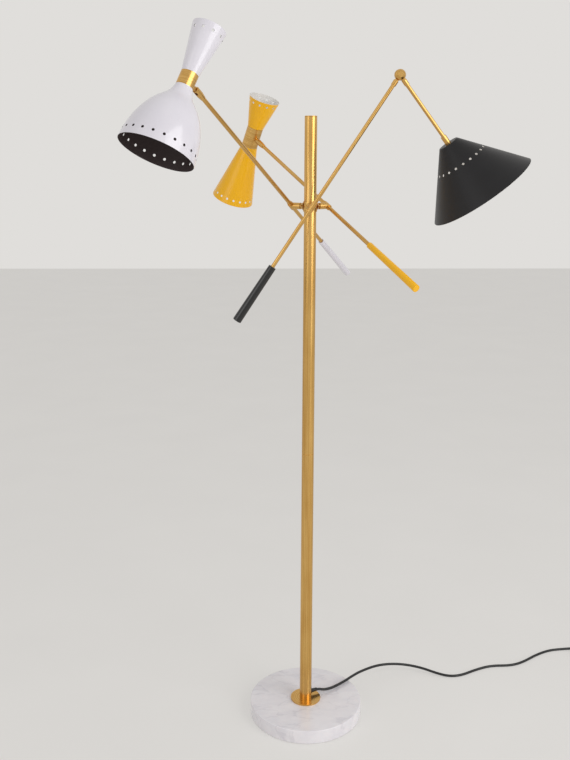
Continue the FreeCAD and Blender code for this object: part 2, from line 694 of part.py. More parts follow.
# ---------------------------------------------------------------- arms
def make_arm(colour, rod_end, tip, tip_cuts, tip_pins):
    """Rod with its end piece, the swivel barrel that grips it, and the counterweight."""
    place = arm_place(colour)
    start = S.barrel_start - S.arm_offset
    barrel = cylinder(f"{colour}_barrel_body", S.barrel_d, -start, (start, 0, 0), X_AXIS)
    knuckle = cylinder(
        f"{colour}_knuckle", S.knuckle_d, S.knuckle_half * 2, (0, 0, -S.knuckle_half)
    )
    bush = cylinder(f"{colour}_bush", S.bush_d, S.bush_long, (0, 0, S.knuckle_half))
    rod_way = cylinder(
        f"{colour}_rod_way", S.rod_d + S.seat * 2, S.knuckle_half * 4, (0, 0, -S.knuckle_half * 2)
    )
    pin_deep = S.pivot_reach - S.barrel_start + S.part_gap
    pin_way = cylinder(
        f"{colour}_pin_way", S.pivot_d + S.running * 2, pin_deep, (start, 0, 0), X_AXIS
    )
    wires = prism(f"{colour}_wires", S.wire_way, -start, (start, 0, 0), X_AXIS)
    socket_deep = S.bevel * 2
    socket = prism(
        f"{colour}_screw_socket",
        S.grub_d,
        socket_deep,
        (S.knuckle_d / 2 - socket_deep, 0, 0),
        X_AXIS,
    )
    solid = fuse(f"{colour}_barrel_solid", barrel, knuckle, bush)
    swivel = cut(f"{colour}_barrel", solid, rod_way, pin_way, wires, socket)

    weight_long = S[f"{colour}_weight_long"]
    tail = S[f"{colour}_tail"]
    rod_start = tail - weight_long + S.weight_grip
    rod_long = rod_end + rod_start
    rod = cylinder(f"{colour}_rod_outside", S.rod_d, rod_long, (0, 0, -rod_start))
    rod = cut(
        f"{colour}_rod_bored",
        fuse(f"{colour}_rod_solid", rod, *tip),
        cylinder(f"{colour}_rod_inside", S.rod_d - S.rod_wall * 2, rod_long, (0, 0, -rod_start)),
        prism(f"{colour}_rod_wires", S.wire_way, S.rod_d, (-S.rod_d, 0, 0), X_AXIS),
        *tip_cuts,
    )
    if tip_pins:
        rod = fuse(f"{colour}_rod_pinned", rod, *tip_pins)
    keep(group(f"{colour}_rod", rod, swivel), f"{colour}_rod", place)

    wide = S[f"{colour}_weight_wide"] / 2
    slim = S[f"{colour}_weight_slim"] / 2
    bore = S.rod_d / 2 + S.seat
    weight = turned(
        f"{colour}_counterweight",
        [
            (0, 0),
            (wide - S.weight_edge, 0),
            (wide, S.weight_edge),
            (slim, weight_long),
            (bore, weight_long),
            (bore, weight_long - S.weight_grip),
            (0, weight_long - S.weight_grip),
        ],
    )
    keep(weight, f"{colour}_counterweight", along_arm(colour, -tail.value))


# ---------------------------------------------------------------- two-shade heads
def fork_tip(colour):
    """Tapered ferrule with two ears round a slot, on the end of a rod, and its tilt pin."""
    at = S[f"{colour}_reach"]
    body_from = at - S.ferrule_long
    taper = cone(
        f"{colour}_taper", S.ferrule_slim, S.ferrule_d, S.ferrule_taper, (0, 0, body_from)
    )
    shank = cylinder(
        f"{colour}_shank",
        S.ferrule_d,
        S.ferrule_long - S.ferrule_taper,
        (0, 0, body_from + S.ferrule_taper),
    )
    ears = common(
        f"{colour}_ears",
        cylinder(f"{colour}_ear_round", S.ferrule_d, S.ferrule_d, (0, 0, at - S.ear_round)),
        cylinder(
            f"{colour}_ear_side", S.ear_round * 2, S.ferrule_d, (-S.ferrule_d / 2, 0, at), X_AXIS
        ),
    )
    slot_long = S.slot_deep + S.ferrule_d
    slot = box(
        f"{colour}_slot",
        (S.tongue_thick + S.part_gap * 2, S.ferrule_d * 2, slot_long),
        (0, 0, at + slot_long / 2 - S.slot_deep),
    )
    pin_long = S.ferrule_d - S.bevel * 2
    pin = cylinder(f"{colour}_tilt_pin", S.pin_d, pin_long, (-pin_long / 2, 0, at), X_AXIS)
    return [taper, shank, ears], [slot], [pin]


def make_tongue(colour):
    """Tongue on the tilt pin, with the swivel stud and its nut."""
    joint = S[f"{colour}_joint"]
    collar_r = S[f"{colour}_collar_d"] / 2
    shoulder = joint - collar_r - S.boss_proud - S.part_gap
    disc = cylinder(
        f"{colour}_tongue_round",
        S.tongue_round * 2,
        S.tongue_thick,
        (-(S.tongue_thick / 2), 0, 0),
        X_AXIS,
    )
    blade = box(
        f"{colour}_blade",
        (S.tongue_thick, S.neck_d, S.neck_start),
        (0, 0, S.neck_start / 2),
    )
    neck = cylinder(f"{colour}_neck", S.neck_d, shoulder - S.neck_start, (0, 0, S.neck_start))
    nut_far = S.stud_nut_high + S.part_gap * 4 + S.collar_wall + S.boss_proud + S.part_gap
    stud = cylinder(f"{colour}_stud", S.stud_d, nut_far, (0, 0, shoulder))
    nut = prism(
        f"{colour}_stud_nut",
        S.stud_nut_round,
        S.stud_nut_high,
        (0, 0, shoulder + nut_far - S.stud_nut_high),
    )
    tongue = cut(
        f"{colour}_tongue",
        fuse(f"{colour}_tongue_solid", disc, blade, neck, stud, nut),
        cylinder(
            f"{colour}_tongue_hole",
            S.pin_d + S.running * 2,
            S.tongue_thick * 2,
            (-S.tongue_thick, 0, 0),
            X_AXIS,
        ),
    )
    keep(tongue, f"{colour}_tongue", head_joint(colour))


def make_collar(colour):
    """Brass collar with the boss that turns on the stud."""
    diameter = S[f"{colour}_collar_d"]
    length = S[f"{colour}_collar_long"]
    low = -(length / 2)
    tube = cylinder(f"{colour}_collar_tube", diameter, length, (0, 0, low))
    boss_long = S.boss_proud + S.collar_wall
    boss_from = diameter / 2 - S.collar_wall
    boss = cylinder(f"{colour}_boss", S.boss_d, boss_long, (boss_from, 0, 0), X_AXIS)
    inside = cylinder(f"{colour}_collar_inside", diameter - S.collar_wall * 2, length, (0, 0, low))
    hole = cylinder(
        f"{colour}_stud_hole", S.stud_d + S.running * 2, diameter, (0, 0, 0), X_AXIS
    )
    solid = fuse(f"{colour}_collar_solid", tube, boss)
    keep(cut(f"{colour}_collar", solid, inside, hole), f"{colour}_collar", head_place(colour))


def cone_profile(neck_d, rim_d, length, bore_d):
    """Outline of a plain cone in sheet metal: flat neck with a bore, wall and open rim."""
    slope = math.hypot(length.value, (rim_d - neck_d).value / 2) / length.value
    wall = S.sheet * slope
    return [
        (bore_d / 2, 0),
        (neck_d / 2, 0),
        (rim_d / 2, length),
        (rim_d / 2 - wall, length),
        (neck_d / 2 - wall + S.sheet * ((rim_d - neck_d).value / 2 / length.value), S.sheet),
        (bore_d / 2, S.sheet),
    ]


def bell_profile(bore_d):
    """Outline of the bell in sheet metal: a flare that turns into a full belly, in straight bands
    through points of the spun form."""
    stations = [(S.white_collar_d / 2, ZERO)]
    stations += [(S[f"bell_r_{i}"], S[f"bell_at_{i}"]) for i in range(1, 6)]
    stations.append((S.white_big_rim / 2, S.white_big_long))
    inner = []
    for before, here, after in zip(stations, stations[1:], stations[2:]):
        rise = (after[1] - before[1]).value
        run = (after[0] - before[0]).value
        slant = math.hypot(rise, run)
        inner.append((here[0] - S.sheet * (rise / slant), here[1] + S.sheet * (run / slant)))
    outline = [(bore_d / 2, ZERO)] + stations
    outline.append((S.white_big_rim / 2 - S.sheet, S.white_big_long))
    outline += inner[::-1]
    outline += [(S.white_collar_d / 2 - S.sheet * 0.6, S.sheet), (bore_d / 2, S.sheet)]
    return outline


def make_shade(label, profile, rim_d, hole_at, holes, place):
    """A spun shade: a turned sheet form with a ring of holes."""
    body = turned(label, profile)
    ring_of_holes(body, label, hole_at, S.shade_hole, rim_d, holes)
    keep(body, label, place)


def lampholder(name, foot_d, ring_at, place, thread_d=None):
    """A lampholder with its foot plate and shade ring, open at the far end."""
    solid = fuse(
        f"{name}_solid",
        prism(f"{name}_foot", foot_d, S.holder_foot, sides=12),
        prism(f"{name}_body", S.holder_d, S.holder_long, sides=12),
        prism(f"{name}_ring", S.ring_d, S.ring_thick, (0, 0, ring_at), sides=12),
    )
    cavities = [
        prism(
            f"{name}_bore",
            S.holder_bore,
            S.holder_long - S.holder_back,
            (0, 0, S.holder_back),
            sides=12,
        )
    ]
    if thread_d is not None:
        cavities.append(prism(f"{name}_thread", thread_d, S.holder_back, sides=12))
    holder = cut(name, solid, *cavities)
    holder.Placement = place
    return holder


def bulb(name, place):
    """A small round bulb in flat facets, whose base sits in a lampholder."""
    ball = S.bulb_d.value / 2
    base = S.bulb_base_d.value / 2
    neck = (S.holder_long + S.bevel * 5).value
    middle = neck + math.sqrt(ball**2 - base**2)
    sections = [((S.holder_long - S.bulb_base_in).value, base * 2), (neck, base * 2)]
    for degrees in (-28, 5, 40, 72):
        angle = math.radians(degrees)
        sections.append((middle + ball * math.sin(angle), ball * 2 * math.cos(angle)))
    item = faceted(name, 12, sections)
    item.Placement = place
    return item


def make_head(colour):
    """Collar, two shades, and a lampholder, shade ring and bulb in each."""
    place = head_place(colour)
    half = (S[f"{colour}_collar_long"] / 2).value
    make_collar(colour)
    ends = {
        "big": Placement(UP * -half, Rotation(X_AXIS, 180)),
        "small": Placement(UP * half, Rotation()),
    }
    holders = []
    bulbs = []
    inset = S[f"{colour}_inset"]
    foot_d = S[f"{colour}_collar_d"] - S.collar_wall * 2 - S.seat * 2
    for side, end in ends.items():
        rim_d = S[f"{colour}_{side}_rim"]
        if (colour, side) == ("white", "big"):
            profile = bell_profile(S.shade_bore)
        else:
            length = S[f"{colour}_{side}_long"]
            profile = cone_profile(S[f"{colour}_collar_d"], rim_d, length, S.shade_bore)
        make_shade(
            f"{colour}_{side}_shade",
            profile,
            rim_d,
            S[f"{colour}_{side}_hole_at"],
            S[f"{colour}_{side}_holes"],
            place * end,
        )
        inner = end * Placement(UP * -inset.value, Rotation())
        holders.append(lampholder(f"{colour}_{side}_holder", foot_d, inset + S.sheet, inner))
        bulbs.append(bulb(f"{colour}_{side}_bulb", inner))
    keep(group(f"{colour}_lampholders", *holders), f"{colour}_lampholders", place)
    keep(group(f"{colour}_bulbs", *bulbs), f"{colour}_bulbs", place)


# ---------------------------------------------------------------- elbow, forearm and black shade
def elbow_tongue():
    """Round tongue of the elbow with its neck and ferrule, on the end of the black arm's rod."""
    at = S.black_reach
    neck_long = S.elbow_ferrule_at + S.bevel
    slab = cylinder(
        "tongue_slab", S.ball_d - S.bevel, S.elbow_thick, (-(S.elbow_thick / 2), 0, at), X_AXIS
    )
    neck = box(
        "tongue_neck", (S.elbow_thick, S.elbow_neck, neck_long), (0, 0, at - neck_long / 2)
    )
    ferrule = cylinder(
        "tongue_ferrule",
        S.elbow_ferrule_d,
        S.elbow_ferrule_long,
        (0, 0, at - S.elbow_ferrule_at - S.elbow_ferrule_long),
    )
    pin_way = cylinder(
        "tongue_pin_way",
        S.elbow_pin_d + S.running * 2,
        S.ball_d,
        (-(S.ball_d / 2), 0, at),
        X_AXIS,
    )
    return [slab, neck, ferrule], [pin_way], []


def elbow_fork():
    """Two rounded cheeks on a ferrule, with the elbow pin through them."""
    gap_half = S.elbow_thick / 2 + S.part_gap
    ferrule_at = S.elbow_ferrule_at
    bridge_from = S.ball_d / 2 + S.part_gap * 2
    cheek = S.elbow_ferrule_d / 2 - gap_half
    shoulder = S.ball_d * 0.28
    face = S.ball_d * 0.44
    pieces = []
    for side, sign in (("front", 1), ("back", -1)):
        way = X_AXIS * sign
        pieces += [
            cone(
                f"cheek_inner_{side}",
                S.ball_d * 0.97,
                S.ball_d * 0.83,
                shoulder - gap_half,
                (gap_half * sign, 0, 0),
                way,
            ),
            cone(
                f"cheek_outer_{side}",
                S.ball_d * 0.83,
                S.ball_d * 0.48,
                face - shoulder,
                (shoulder * sign, 0, 0),
                way,
            ),
            box(
                f"cheek_neck_{side}",
                (cheek, S.elbow_neck, ferrule_at),
                ((gap_half + cheek / 2) * sign, 0, ferrule_at / 2),
            ),
        ]
    pieces.append(
        cylinder(
            "fork_bridge",
            S.elbow_ferrule_d,
            ferrule_at + S.elbow_ferrule_long - bridge_from,
            (0, 0, bridge_from),
        )
    )
    pin_long = S.ball_d - S.bevel * 4
    pieces.append(cylinder("elbow_pin", S.elbow_pin_d, pin_long, (-pin_long / 2, 0, 0), X_AXIS))
    socket_at = ferrule_at + S.elbow_ferrule_long - S.rod_in_ferrule
    socket = cylinder("fork_socket", S.rod_d + S.seat * 2, S.rod_in_ferrule, (0, 0, socket_at))
    return cut("black_elbow_fork", fuse("fork_solid", *pieces), socket)


def make_forearm():
    """Elbow fork, forearm rod, and the ferrule, nipple and nut that carry the black shade."""
    start = S.elbow_ferrule_at + S.elbow_ferrule_long - S.rod_in_ferrule
    top = S.forearm_long - S.shade_ferrule_long
    rod_long = top + S.rod_in_ferrule - start
    nipple_long = S.sheet + S.ring_thick + S.holder_back
    solid = fuse(
        "forearm_solid",
        cylinder("forearm_outside", S.rod_d, rod_long, (0, 0, start)),
        cylinder("shade_ferrule", S.shade_ferrule_d, S.shade_ferrule_long, (0, 0, top)),
        cylinder("nipple", S.nipple_d, nipple_long, (0, 0, S.forearm_long)),
        prism("shade_nut", S.nipple_d * 2, S.ring_thick, (0, 0, S.forearm_long + S.sheet)),
    )
    rod = cut(
        "black_shade_rod",
        solid,
        cylinder("forearm_inside", S.rod_d - S.rod_wall * 2, rod_long, (0, 0, start)),
        prism("nipple_inside", S.wire_way, nipple_long + S.shade_ferrule_long, (0, 0, top)),
    )
    keep(group("black_forearm", elbow_fork(), rod), "black_forearm", elbow_place())


def make_black_shade():
    """The wide cone, its lampholder and bulb."""
    place = shade_place()
    make_shade(
        "black_shade",
        cone_profile(S.black_top_d, S.black_rim, S.black_long, S.nipple_d + S.seat * 2),
        S.black_rim,
        S.black_hole_at,
        S.black_holes,
        place,
    )
    down = Placement(UP * (S.sheet + S.ring_thick).value, Rotation())
    holder = lampholder("black_holder", S.ring_d, S.holder_foot, Placement(), S.nipple_d + S.bevel)
    keep(holder, "black_lampholder", place * down)
    keep(bulb("black_bulb", Placement()), "black_bulb", place * down)


# ---------------------------------------------------------------- lead, coil and plug
def rounded_path(points):
    """Straight runs joined by tangent arcs as large as the runs allow. Returns the wire, its
    length and the radii."""
    edges = []
    radii = []
    start = points[0]
    for before, corner, after in zip(points, points[1:], points[2:]):
        to_before = (before - corner).normalize()
        to_after = (after - corner).normalize()
        half_turn = (math.pi - to_before.getAngle(to_after)) / 2
        back = 0.45 * min((before - corner).Length, (after - corner).Length)
        radius = back / math.tan(half_turn)
        enter = corner + to_before * back
        leave = corner + to_after * back
        inward = (to_before + to_after).normalize()
        middle = corner + inward * (radius / math.cos(half_turn) - radius)
        edges.append(Part.LineSegment(start, enter).toShape())
        edges.append(Part.Arc(enter, middle, leave).toShape())
        radii.append(radius)
        start = leave
    edges.append(Part.LineSegment(start, points[-1]).toShape())
    wire = Part.Wire(edges)
    return wire, wire.Length, radii


def tube_along(wire, diameter):
    """A six-sided tube along a wire, with a flat face at each end."""
    first = wire.Edges[0]
    start = first.valueAt(first.FirstParameter)
    heading = first.tangentAt(first.FirstParameter)
    level = UP.cross(heading).normalize()
    above = heading.cross(level)
    turns = [math.radians(60 * i) for i in range(7)]
    corners = [
        start + (level * math.cos(a) + above * math.sin(a)) * (diameter / 2) for a in turns
    ]
    return wire.makePipeShell([Part.makePolygon(corners)], True, False)


def feature(label, shape):
    item = doc.addObject("Part::Feature", label)
    item.Shape = shape
    return keep(item, label)


def arc_from(start, corner, end):
    """The arc that leaves start towards corner and ends at end."""
    chord_middle = (start + end) / 2
    half = (end - start).Length / 2
    turn = (corner - start).getAngle(end - start)
    bulge = (corner - chord_middle).normalize() * (half * math.tan(turn / 2))
    return Part.Arc(start, chord_middle + bulge, end).toShape()


def biarc(start, start_way, end, end_way):
    """Two tangent arcs that join two points along given headings."""
    gap = end - start
    ways = start_way + end_way
    a = ways.dot(ways) - 4
    b = -2 * gap.dot(ways)
    c = gap.dot(gap)
    reach = (-b - math.sqrt(b * b - 4 * a * c)) / (2 * a)
    first = start + start_way * reach
    second = end - end_way * reach
    middle = (first + second) / 2
    return [arc_from(start, first, middle), arc_from(middle, second, end)]


def coil_point(turns):
    """Middle line of the coil: inwards on the floor, half a turn up, outwards on top."""
    layer = S.coil_layer_turns.value
    pitch = S.coil_pitch.value
    total = layer * 2 + 0.5
    radius = S.coil_r.value - pitch * min(turns, total - turns)
    climb = min(max((turns - layer) * 2, 0), 1)
    height = S.coil_lift.value + pitch * (1 - math.cos(math.pi * climb)) / 2
    angle = math.pi / 2 - 2 * math.pi * turns
    return Vector(
        S.coil_x.value + radius * math.cos(angle), S.coil_y.value + radius * math.sin(angle), height
    )


def coil_heading(turns):
    step = 1e-4
    return (coil_point(turns + step) - coil_point(turns - step)).normalize()


def least_gap(points, diameter, apart):
    """Least distance between two stretches of a line, less its tube's diameter."""
    least = 1e9
    for index, here in enumerate(points):
        for there in points[index + apart :]:
            least = min(least, (here - there).Length - diameter)
    return least


def make_coil():
    """The put-away length in two layers, with a straight end at each side."""
    total = 2 * S.coil_layer_turns.value + 0.5
    quarters = round(total * 4)
    places = [coil_point(i / 4) for i in range(quarters + 1)]
    headings = [coil_heading(i / 4) for i in range(quarters + 1)]
    headings[0] = X_AXIS
    headings[-1] = X_AXIS
    edges = [Part.LineSegment(places[0] - X_AXIS * S.lead_d.value, places[0]).toShape()]
    for index in range(quarters):
        edges += biarc(
            places[index], headings[index], places[index + 1], headings[index + 1]
        )
    edges.append(Part.LineSegment(places[-1], places[-1] + X_AXIS * S.lead_d.value * 2).toShape())
    wire = Part.Wire(edges)
    feature("cord_coil", tube_along(wire, S.lead_d.value))
    per_turn = 24
    line = [coil_point(i / per_turn) for i in range(round(total * per_turn) + 1)]
    gap = least_gap(line, S.lead_d.value, per_turn // 2)
    print(f"coil {wire.Length:.0f} mm, least gap between turns {gap:.2f} mm")
    return places[0] - X_AXIS * S.lead_d.value, places[-1] + X_AXIS * S.lead_d.value * 2


def make_tie():
    """A strap round the coil's turns on the side nearest the lamp's front."""
    inner_r = S.coil_r - (S.coil_layer_turns + 0.25) * S.coil_pitch
    slack = S.bevel
    deep = S.coil_r - inner_r + S.lead_d + slack * 2
    tall = S.coil_pitch + S.lead_d + slack
    middle = S.coil_y - (S.coil_r + inner_r) / 2
    high = S.tie_thick + tall / 2
    outside = box(
        "cord_tie_outside",
        (S.tie_band, deep + S.tie_thick * 2, tall + S.tie_thick * 2),
        (S.coil_x, middle, high),
    )
    inside = box("cord_tie_inside", (S.tie_band * 2, deep, tall), (S.coil_x, middle, high))
    keep(cut("cord_tie", outside, inside), "cord_tie")


def make_plug(start):
    """A generic two-pin plug with its tapered sleeve, lying flat beside the coil."""
    sleeve = cone("plug_sleeve", S.lead_d + S.bevel, S.relief_wide, S.relief_long, axis=X_AXIS)
    block = box(
        "plug_block",
        (S.plug_long, S.plug_wide, S.plug_tall),
        (S.relief_long + S.plug_long / 2, 0, 0),
    )
    body = doc.addObject("Part::Chamfer", "plug_body")
    body.Base = block
    doc.recompute()
    count = len(block.Shape.Edges)
    body.Edges = [(i + 1, S.plug_edge.value, S.plug_edge.value) for i in range(count)]
    pins = []
    for name, sign in (("plug_pin_left", 1), ("plug_pin_right", -1)):
        side = S.plug_pin_apart / 2 * sign
        pins.append(
            cylinder(
                name,
                S.plug_pin_d,
                S.plug_pin_long + S.bevel,
                (S.relief_long + S.plug_long - S.bevel, side, 0),
                X_AXIS,
            )
        )
    plug = fuse("plug", sleeve, body, *pins)
    keep(plug, "plug", Placement(start, Rotation()))


def make_lead():
    """Bush, lead, coil, strap and plug, and the length that runs up inside the pole."""
    wall = S.pole_d / 2
    inner = wall - S.pole_wall * 2
    mouth = S.lead_bush_mouth
    way = S.lead_d / 2 + S.running
    shank = S.lead_hole / 2 - S.running
    head_from = wall + S.bevel - inner
    bush = turned(
        "cord_bush",
        [
            (way, 0),
            (shank, 0),
            (shank, head_from),
            (S.lead_bush_d / 2, head_from),
            (S.lead_bush_slim / 2, mouth - inner),
            (way, mouth - inner),
        ],
    )
    azimuth = S.lead_azimuth.value
    high = S.lead_exit_high.value
    keep(bush, "cord_bush", radial(azimuth, inner.value, high))

    coil_start, coil_end = make_coil()
    make_tie()
    make_plug(coil_end)
    exit_point = radial(azimuth, mouth.value, high).Base
    route = [exit_point] + [Vector(*p) for p in LEAD_ROUTE] + [coil_start]
    wire, length, radii = rounded_path(route)
    tube = tube_along(wire, S.lead_d.value)
    section = 1.5 * math.sqrt(3) * (S.lead_d.value / 2) ** 2
    feature("cord_lead", tube)
    print(f"lead {length:.0f} mm, volume {tube.Volume / (section * length):.4f} of section x length")
    print("lead radii", " ".join(f"{r:.0f}" for r in radii))

    inner_start = radial(azimuth, inner.value, high).Base
    inner_route = [
        inner_start,
        radial(azimuth, inner.value / 3, high + S.inner_lead_d.value / 2).Base,
        Vector(0, 0, high + S.inner_lead_d.value * 4),
        Vector(0, 0, S.hub_high.value - S.hub_long.value / 2),
    ]
    inner_wire, _, _ = rounded_path(inner_route)
    feature("inner_cable", tube_along(inner_wire, S.inner_lead_d.value))


# ---------------------------------------------------------------- the lamp
make_foot()
make_pole()
make_hub()
black_rod_end = S.black_reach - S.elbow_ferrule_at - S.elbow_ferrule_long + S.rod_in_ferrule
make_arm("black", black_rod_end, *elbow_tongue())
for head in ("white", "yellow"):
    rod_end = S[f"{head}_reach"] - S.ferrule_long + S.rod_in_ferrule
    make_arm(head, rod_end, *fork_tip(head))
    make_tongue(head)
    make_head(head)
make_forearm()
make_black_shade()
make_lead()
doc.recompute()

for item in doc.Objects:
    if "Invalid" in item.State or "Error" in item.State:
        raise RuntimeError(f"{item.Label} failed: {item.State}")
for item in kept:
    if item.Shape.isNull() or not item.Shape.isValid() or not item.Shape.Solids:
        raise RuntimeError(f"{item.Label} has no valid solid")
for item in kept:
    item.Shape.exportStep(f"parts/{item.Label}.step")
print(len(kept), "pieces")
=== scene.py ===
import json
import logging
import math
from dataclasses import dataclass
from enum import Enum

import bmesh
import bpy
from mathutils import Matrix, Vector


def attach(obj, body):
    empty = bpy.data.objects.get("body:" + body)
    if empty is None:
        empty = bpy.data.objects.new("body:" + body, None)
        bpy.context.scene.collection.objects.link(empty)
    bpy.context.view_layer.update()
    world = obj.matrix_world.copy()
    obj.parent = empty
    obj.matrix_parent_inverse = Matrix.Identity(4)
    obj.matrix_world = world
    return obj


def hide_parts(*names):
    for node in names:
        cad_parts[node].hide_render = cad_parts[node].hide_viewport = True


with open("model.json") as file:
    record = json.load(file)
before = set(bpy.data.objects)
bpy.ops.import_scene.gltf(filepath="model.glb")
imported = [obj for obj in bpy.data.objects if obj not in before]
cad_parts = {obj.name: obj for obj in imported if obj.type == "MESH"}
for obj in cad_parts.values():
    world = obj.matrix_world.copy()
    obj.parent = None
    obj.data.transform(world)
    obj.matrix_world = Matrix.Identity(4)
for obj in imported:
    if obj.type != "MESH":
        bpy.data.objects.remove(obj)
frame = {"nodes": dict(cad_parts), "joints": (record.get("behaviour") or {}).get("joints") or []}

# A free-standing floor lamp: marble foot, brass pole, and three balanced arms on a hub. Sizes
# are in millimetres until a mesh is placed. Every object is in metres, in the CAD part's frame.

log = logging.getLogger("floor_lamp")
MM = 0.001
UP = Vector((0, 0, 1))
JOINTS = {joint["name"]: joint for joint in frame["joints"]}
# Noise lies mostly between these values, so a pattern's range starts from them.
MOSTLY = {"From Min": 0.25, "From Max": 0.75}

Tree = bpy.types.NodeTree
Node = bpy.types.Node
# What an input can take: an output, or a node that stands for its first output.
Source = bpy.types.Node | bpy.types.NodeSocket


class Grain(Enum):
    """Which way the lines of a worked metal surface run."""

    LENGTHWISE = "lengthwise"
    TURNED = "turned"
    FACED = "faced"


# ---------------------------------------------------------------- colour and node helpers
def linear(code: str) -> tuple[float, float, float, float]:
    """Turns an sRGB hex colour into a linear one.

    Args:
        code: The colour, such as "#C9A15F".

    Returns:
        Red, green, blue and an alpha of 1, all linear.
    """
    channels = [int(code[i : i + 2], 16) / 255 for i in (1, 3, 5)]
    curve = [c / 12.92 if c <= 0.04045 else ((c + 0.055) / 1.055) ** 2.4 for c in channels]
    return (curve[0], curve[1], curve[2], 1.0)


def connect(tree: Tree, node: Node, inputs: dict) -> None:
    """Sets or links a node's inputs.

    Args:
        tree: The node tree.
        node: The node.
        inputs: Input names or numbers, each with a value or with its source.
    """
    for name, value in inputs.items():
        if isinstance(value, bpy.types.Node):
            value = value.outputs[0]
        if isinstance(value, bpy.types.NodeSocket):
            tree.links.new(value, node.inputs[name])
        else:
            node.inputs[name].default_value = value


def add_node(
    tree: Tree,
    kind: str,
    inputs: dict,
    stops: tuple[tuple[float, str], ...] = (),
    **settings: str,
) -> Node:
    """Adds a node with its settings and links.

    Args:
        tree: The node tree.
        kind: The node's type name.
        inputs: Input names or numbers, each with a value or with its source.
        stops: The positions of a colour ramp, each with its hex colour.
        settings: Attribute names and values.

    Returns:
        The new node.
    """
    node = tree.nodes.new(kind)
    for name, value in settings.items():
        setattr(node, name, value)
    for number, (position, code) in enumerate(stops):
        node.color_ramp.elements[number].position = position
        node.color_ramp.elements[number].color = linear(code)
    connect(tree, node, inputs)
    return node


@dataclass(frozen=True)
class Finish:
    """A surface, with the helpers that its kinds share."""

    name: str

    def coordinates(self, tree: Tree, place: Matrix) -> Node:
        """Object coordinates seen from a piece's own place.

        Args:
            tree: The node tree.
            place: The piece's place in the lamp, in metres.

        Returns:
            The turned coordinates, with Z along the piece.
        """
        back = place.inverted()
        texture = add_node(tree, "ShaderNodeTexCoord", {})
        turned = {
            "Vector": texture.outputs["Object"],
            "Location": tuple(back.to_translation()),
            "Rotation": tuple(back.to_euler()),
        }
        return add_node(tree, "ShaderNodeMapping", turned, vector_type="POINT")

    def pattern(
        self,
        tree: Tree,
        vector: Source,
        size: tuple[float, float, float],
        detail: float = 2.0,
        roughness: float = 0.5,
    ) -> Node:
        """An uneven pattern whose grains have a real size.

        Args:
            tree: The node tree.
            vector: Coordinates in metres.
            size: A grain's length along X, Y and Z, in millimetres.
            detail: How many finer layers it has.
            roughness: How strong the finer layers are.

        Returns:
            The pattern, from 0 to 1.
        """
        grains = tuple(1 / (length * MM) for length in size)
        counted = {0: vector, 1: grains}
        scale = add_node(tree, "ShaderNodeVectorMath", counted, operation="MULTIPLY")
        layers = {"Vector": scale, "Scale": 1.0, "Detail": detail, "Roughness": roughness}
        return add_node(tree, "ShaderNodeTexNoise", layers)

    def dress(self, tree: Tree, vector: Source) -> dict:
        """Builds the patterns. Each kind of finish has its own.

        Args:
            tree: The node tree.
            vector: The piece's coordinates in metres.

        Returns:
            The shader's inputs, each with a value or with its source.
        """
        return {}

    def material(self, place: Matrix | None = None, suffix: str = "") -> bpy.types.Material:
        """Makes the finish as a material, or finds it where it is made already.

        Args:
            place: The place whose axes the pattern follows.
            suffix: A word that tells this copy from the others.

        Returns:
            The material.
        """
        title = f"{self.name}, {suffix}" if suffix else self.name
        made = bpy.data.materials.get(title)
        if made is None:
            made = bpy.data.materials.new(title)
            made.use_nodes = True
            tree = made.node_tree
            vector = self.coordinates(tree, place or Matrix.Identity(4))
            connect(tree, tree.nodes["Principled BSDF"], self.dress(tree, vector))
        return made


@dataclass(frozen=True)
class BrushedBrass(Finish):
    """Lacquered brass, brushed to a satin with a fine belt or on the lathe. The brushing spreads
    each reflection across its lines, so round bars show long soft stripes."""

    grain: Grain = Grain.LENGTHWISE
    pale: str = "#E2B870"
    deep: str = "#C4954E"
    shine: float = 0.25
    depth: float = 0.001

    def brushing(self, tree: Tree, vector: Source) -> Node:
        """The brushed lines, which the tool leaves along, round or across the piece.

        Args:
            tree: The node tree.
            vector: The piece's coordinates in metres.

        Returns:
            The lines, from 0 to 1.
        """
        # The real brushing is 0.1 mm wide. It is drawn in lines of over 2 mm so that it shows.
        if self.grain is Grain.LENGTHWISE:
            return self.pattern(tree, vector, (2.4, 2.4, 220), 1.0)
        if self.grain is Grain.TURNED:
            return self.pattern(tree, vector, (60, 60, 2.2), 1.0)
        across = {0: vector, 1: (1, 1, 0)}
        flat = add_node(tree, "ShaderNodeVectorMath", across, operation="MULTIPLY")
        reach = add_node(tree, "ShaderNodeVectorMath", {0: flat}, operation="LENGTH")
        rings = add_node(tree, "ShaderNodeCombineXYZ", {"X": reach.outputs["Value"]})
        return self.pattern(tree, rings, (2.2, 50, 50), 1.0)

    def dress(self, tree: Tree, vector: Source) -> dict:
        """Brings the lines and a soft clouding into the colour, the shine and the relief.

        Args:
            tree: The node tree.
            vector: The piece's coordinates in metres.

        Returns:
            The shader's inputs.
        """
        lines = self.brushing(tree, vector)
        cloud = self.pattern(tree, vector, (45, 45, 90), 3.0)
        both = {"Factor": 0.35, 2: lines, 3: cloud}
        tone = add_node(tree, "ShaderNodeMix", both, data_type="FLOAT")
        stops = ((0.32, self.deep), (0.66, self.pale))
        spread = {"To Min": self.shine - 0.04, "To Max": self.shine + 0.06}
        bump = {"Strength": 1.0, "Distance": self.depth * MM, "Height": lines}
        return {
            "Base Color": add_node(tree, "ShaderNodeValToRGB", {"Fac": tone}, stops),
            "Metallic": 1.0,
            "Roughness": add_node(tree, "ShaderNodeMapRange", {"Value": lines, **MOSTLY, **spread}),
            "Normal": add_node(tree, "ShaderNodeBump", bump),
        }


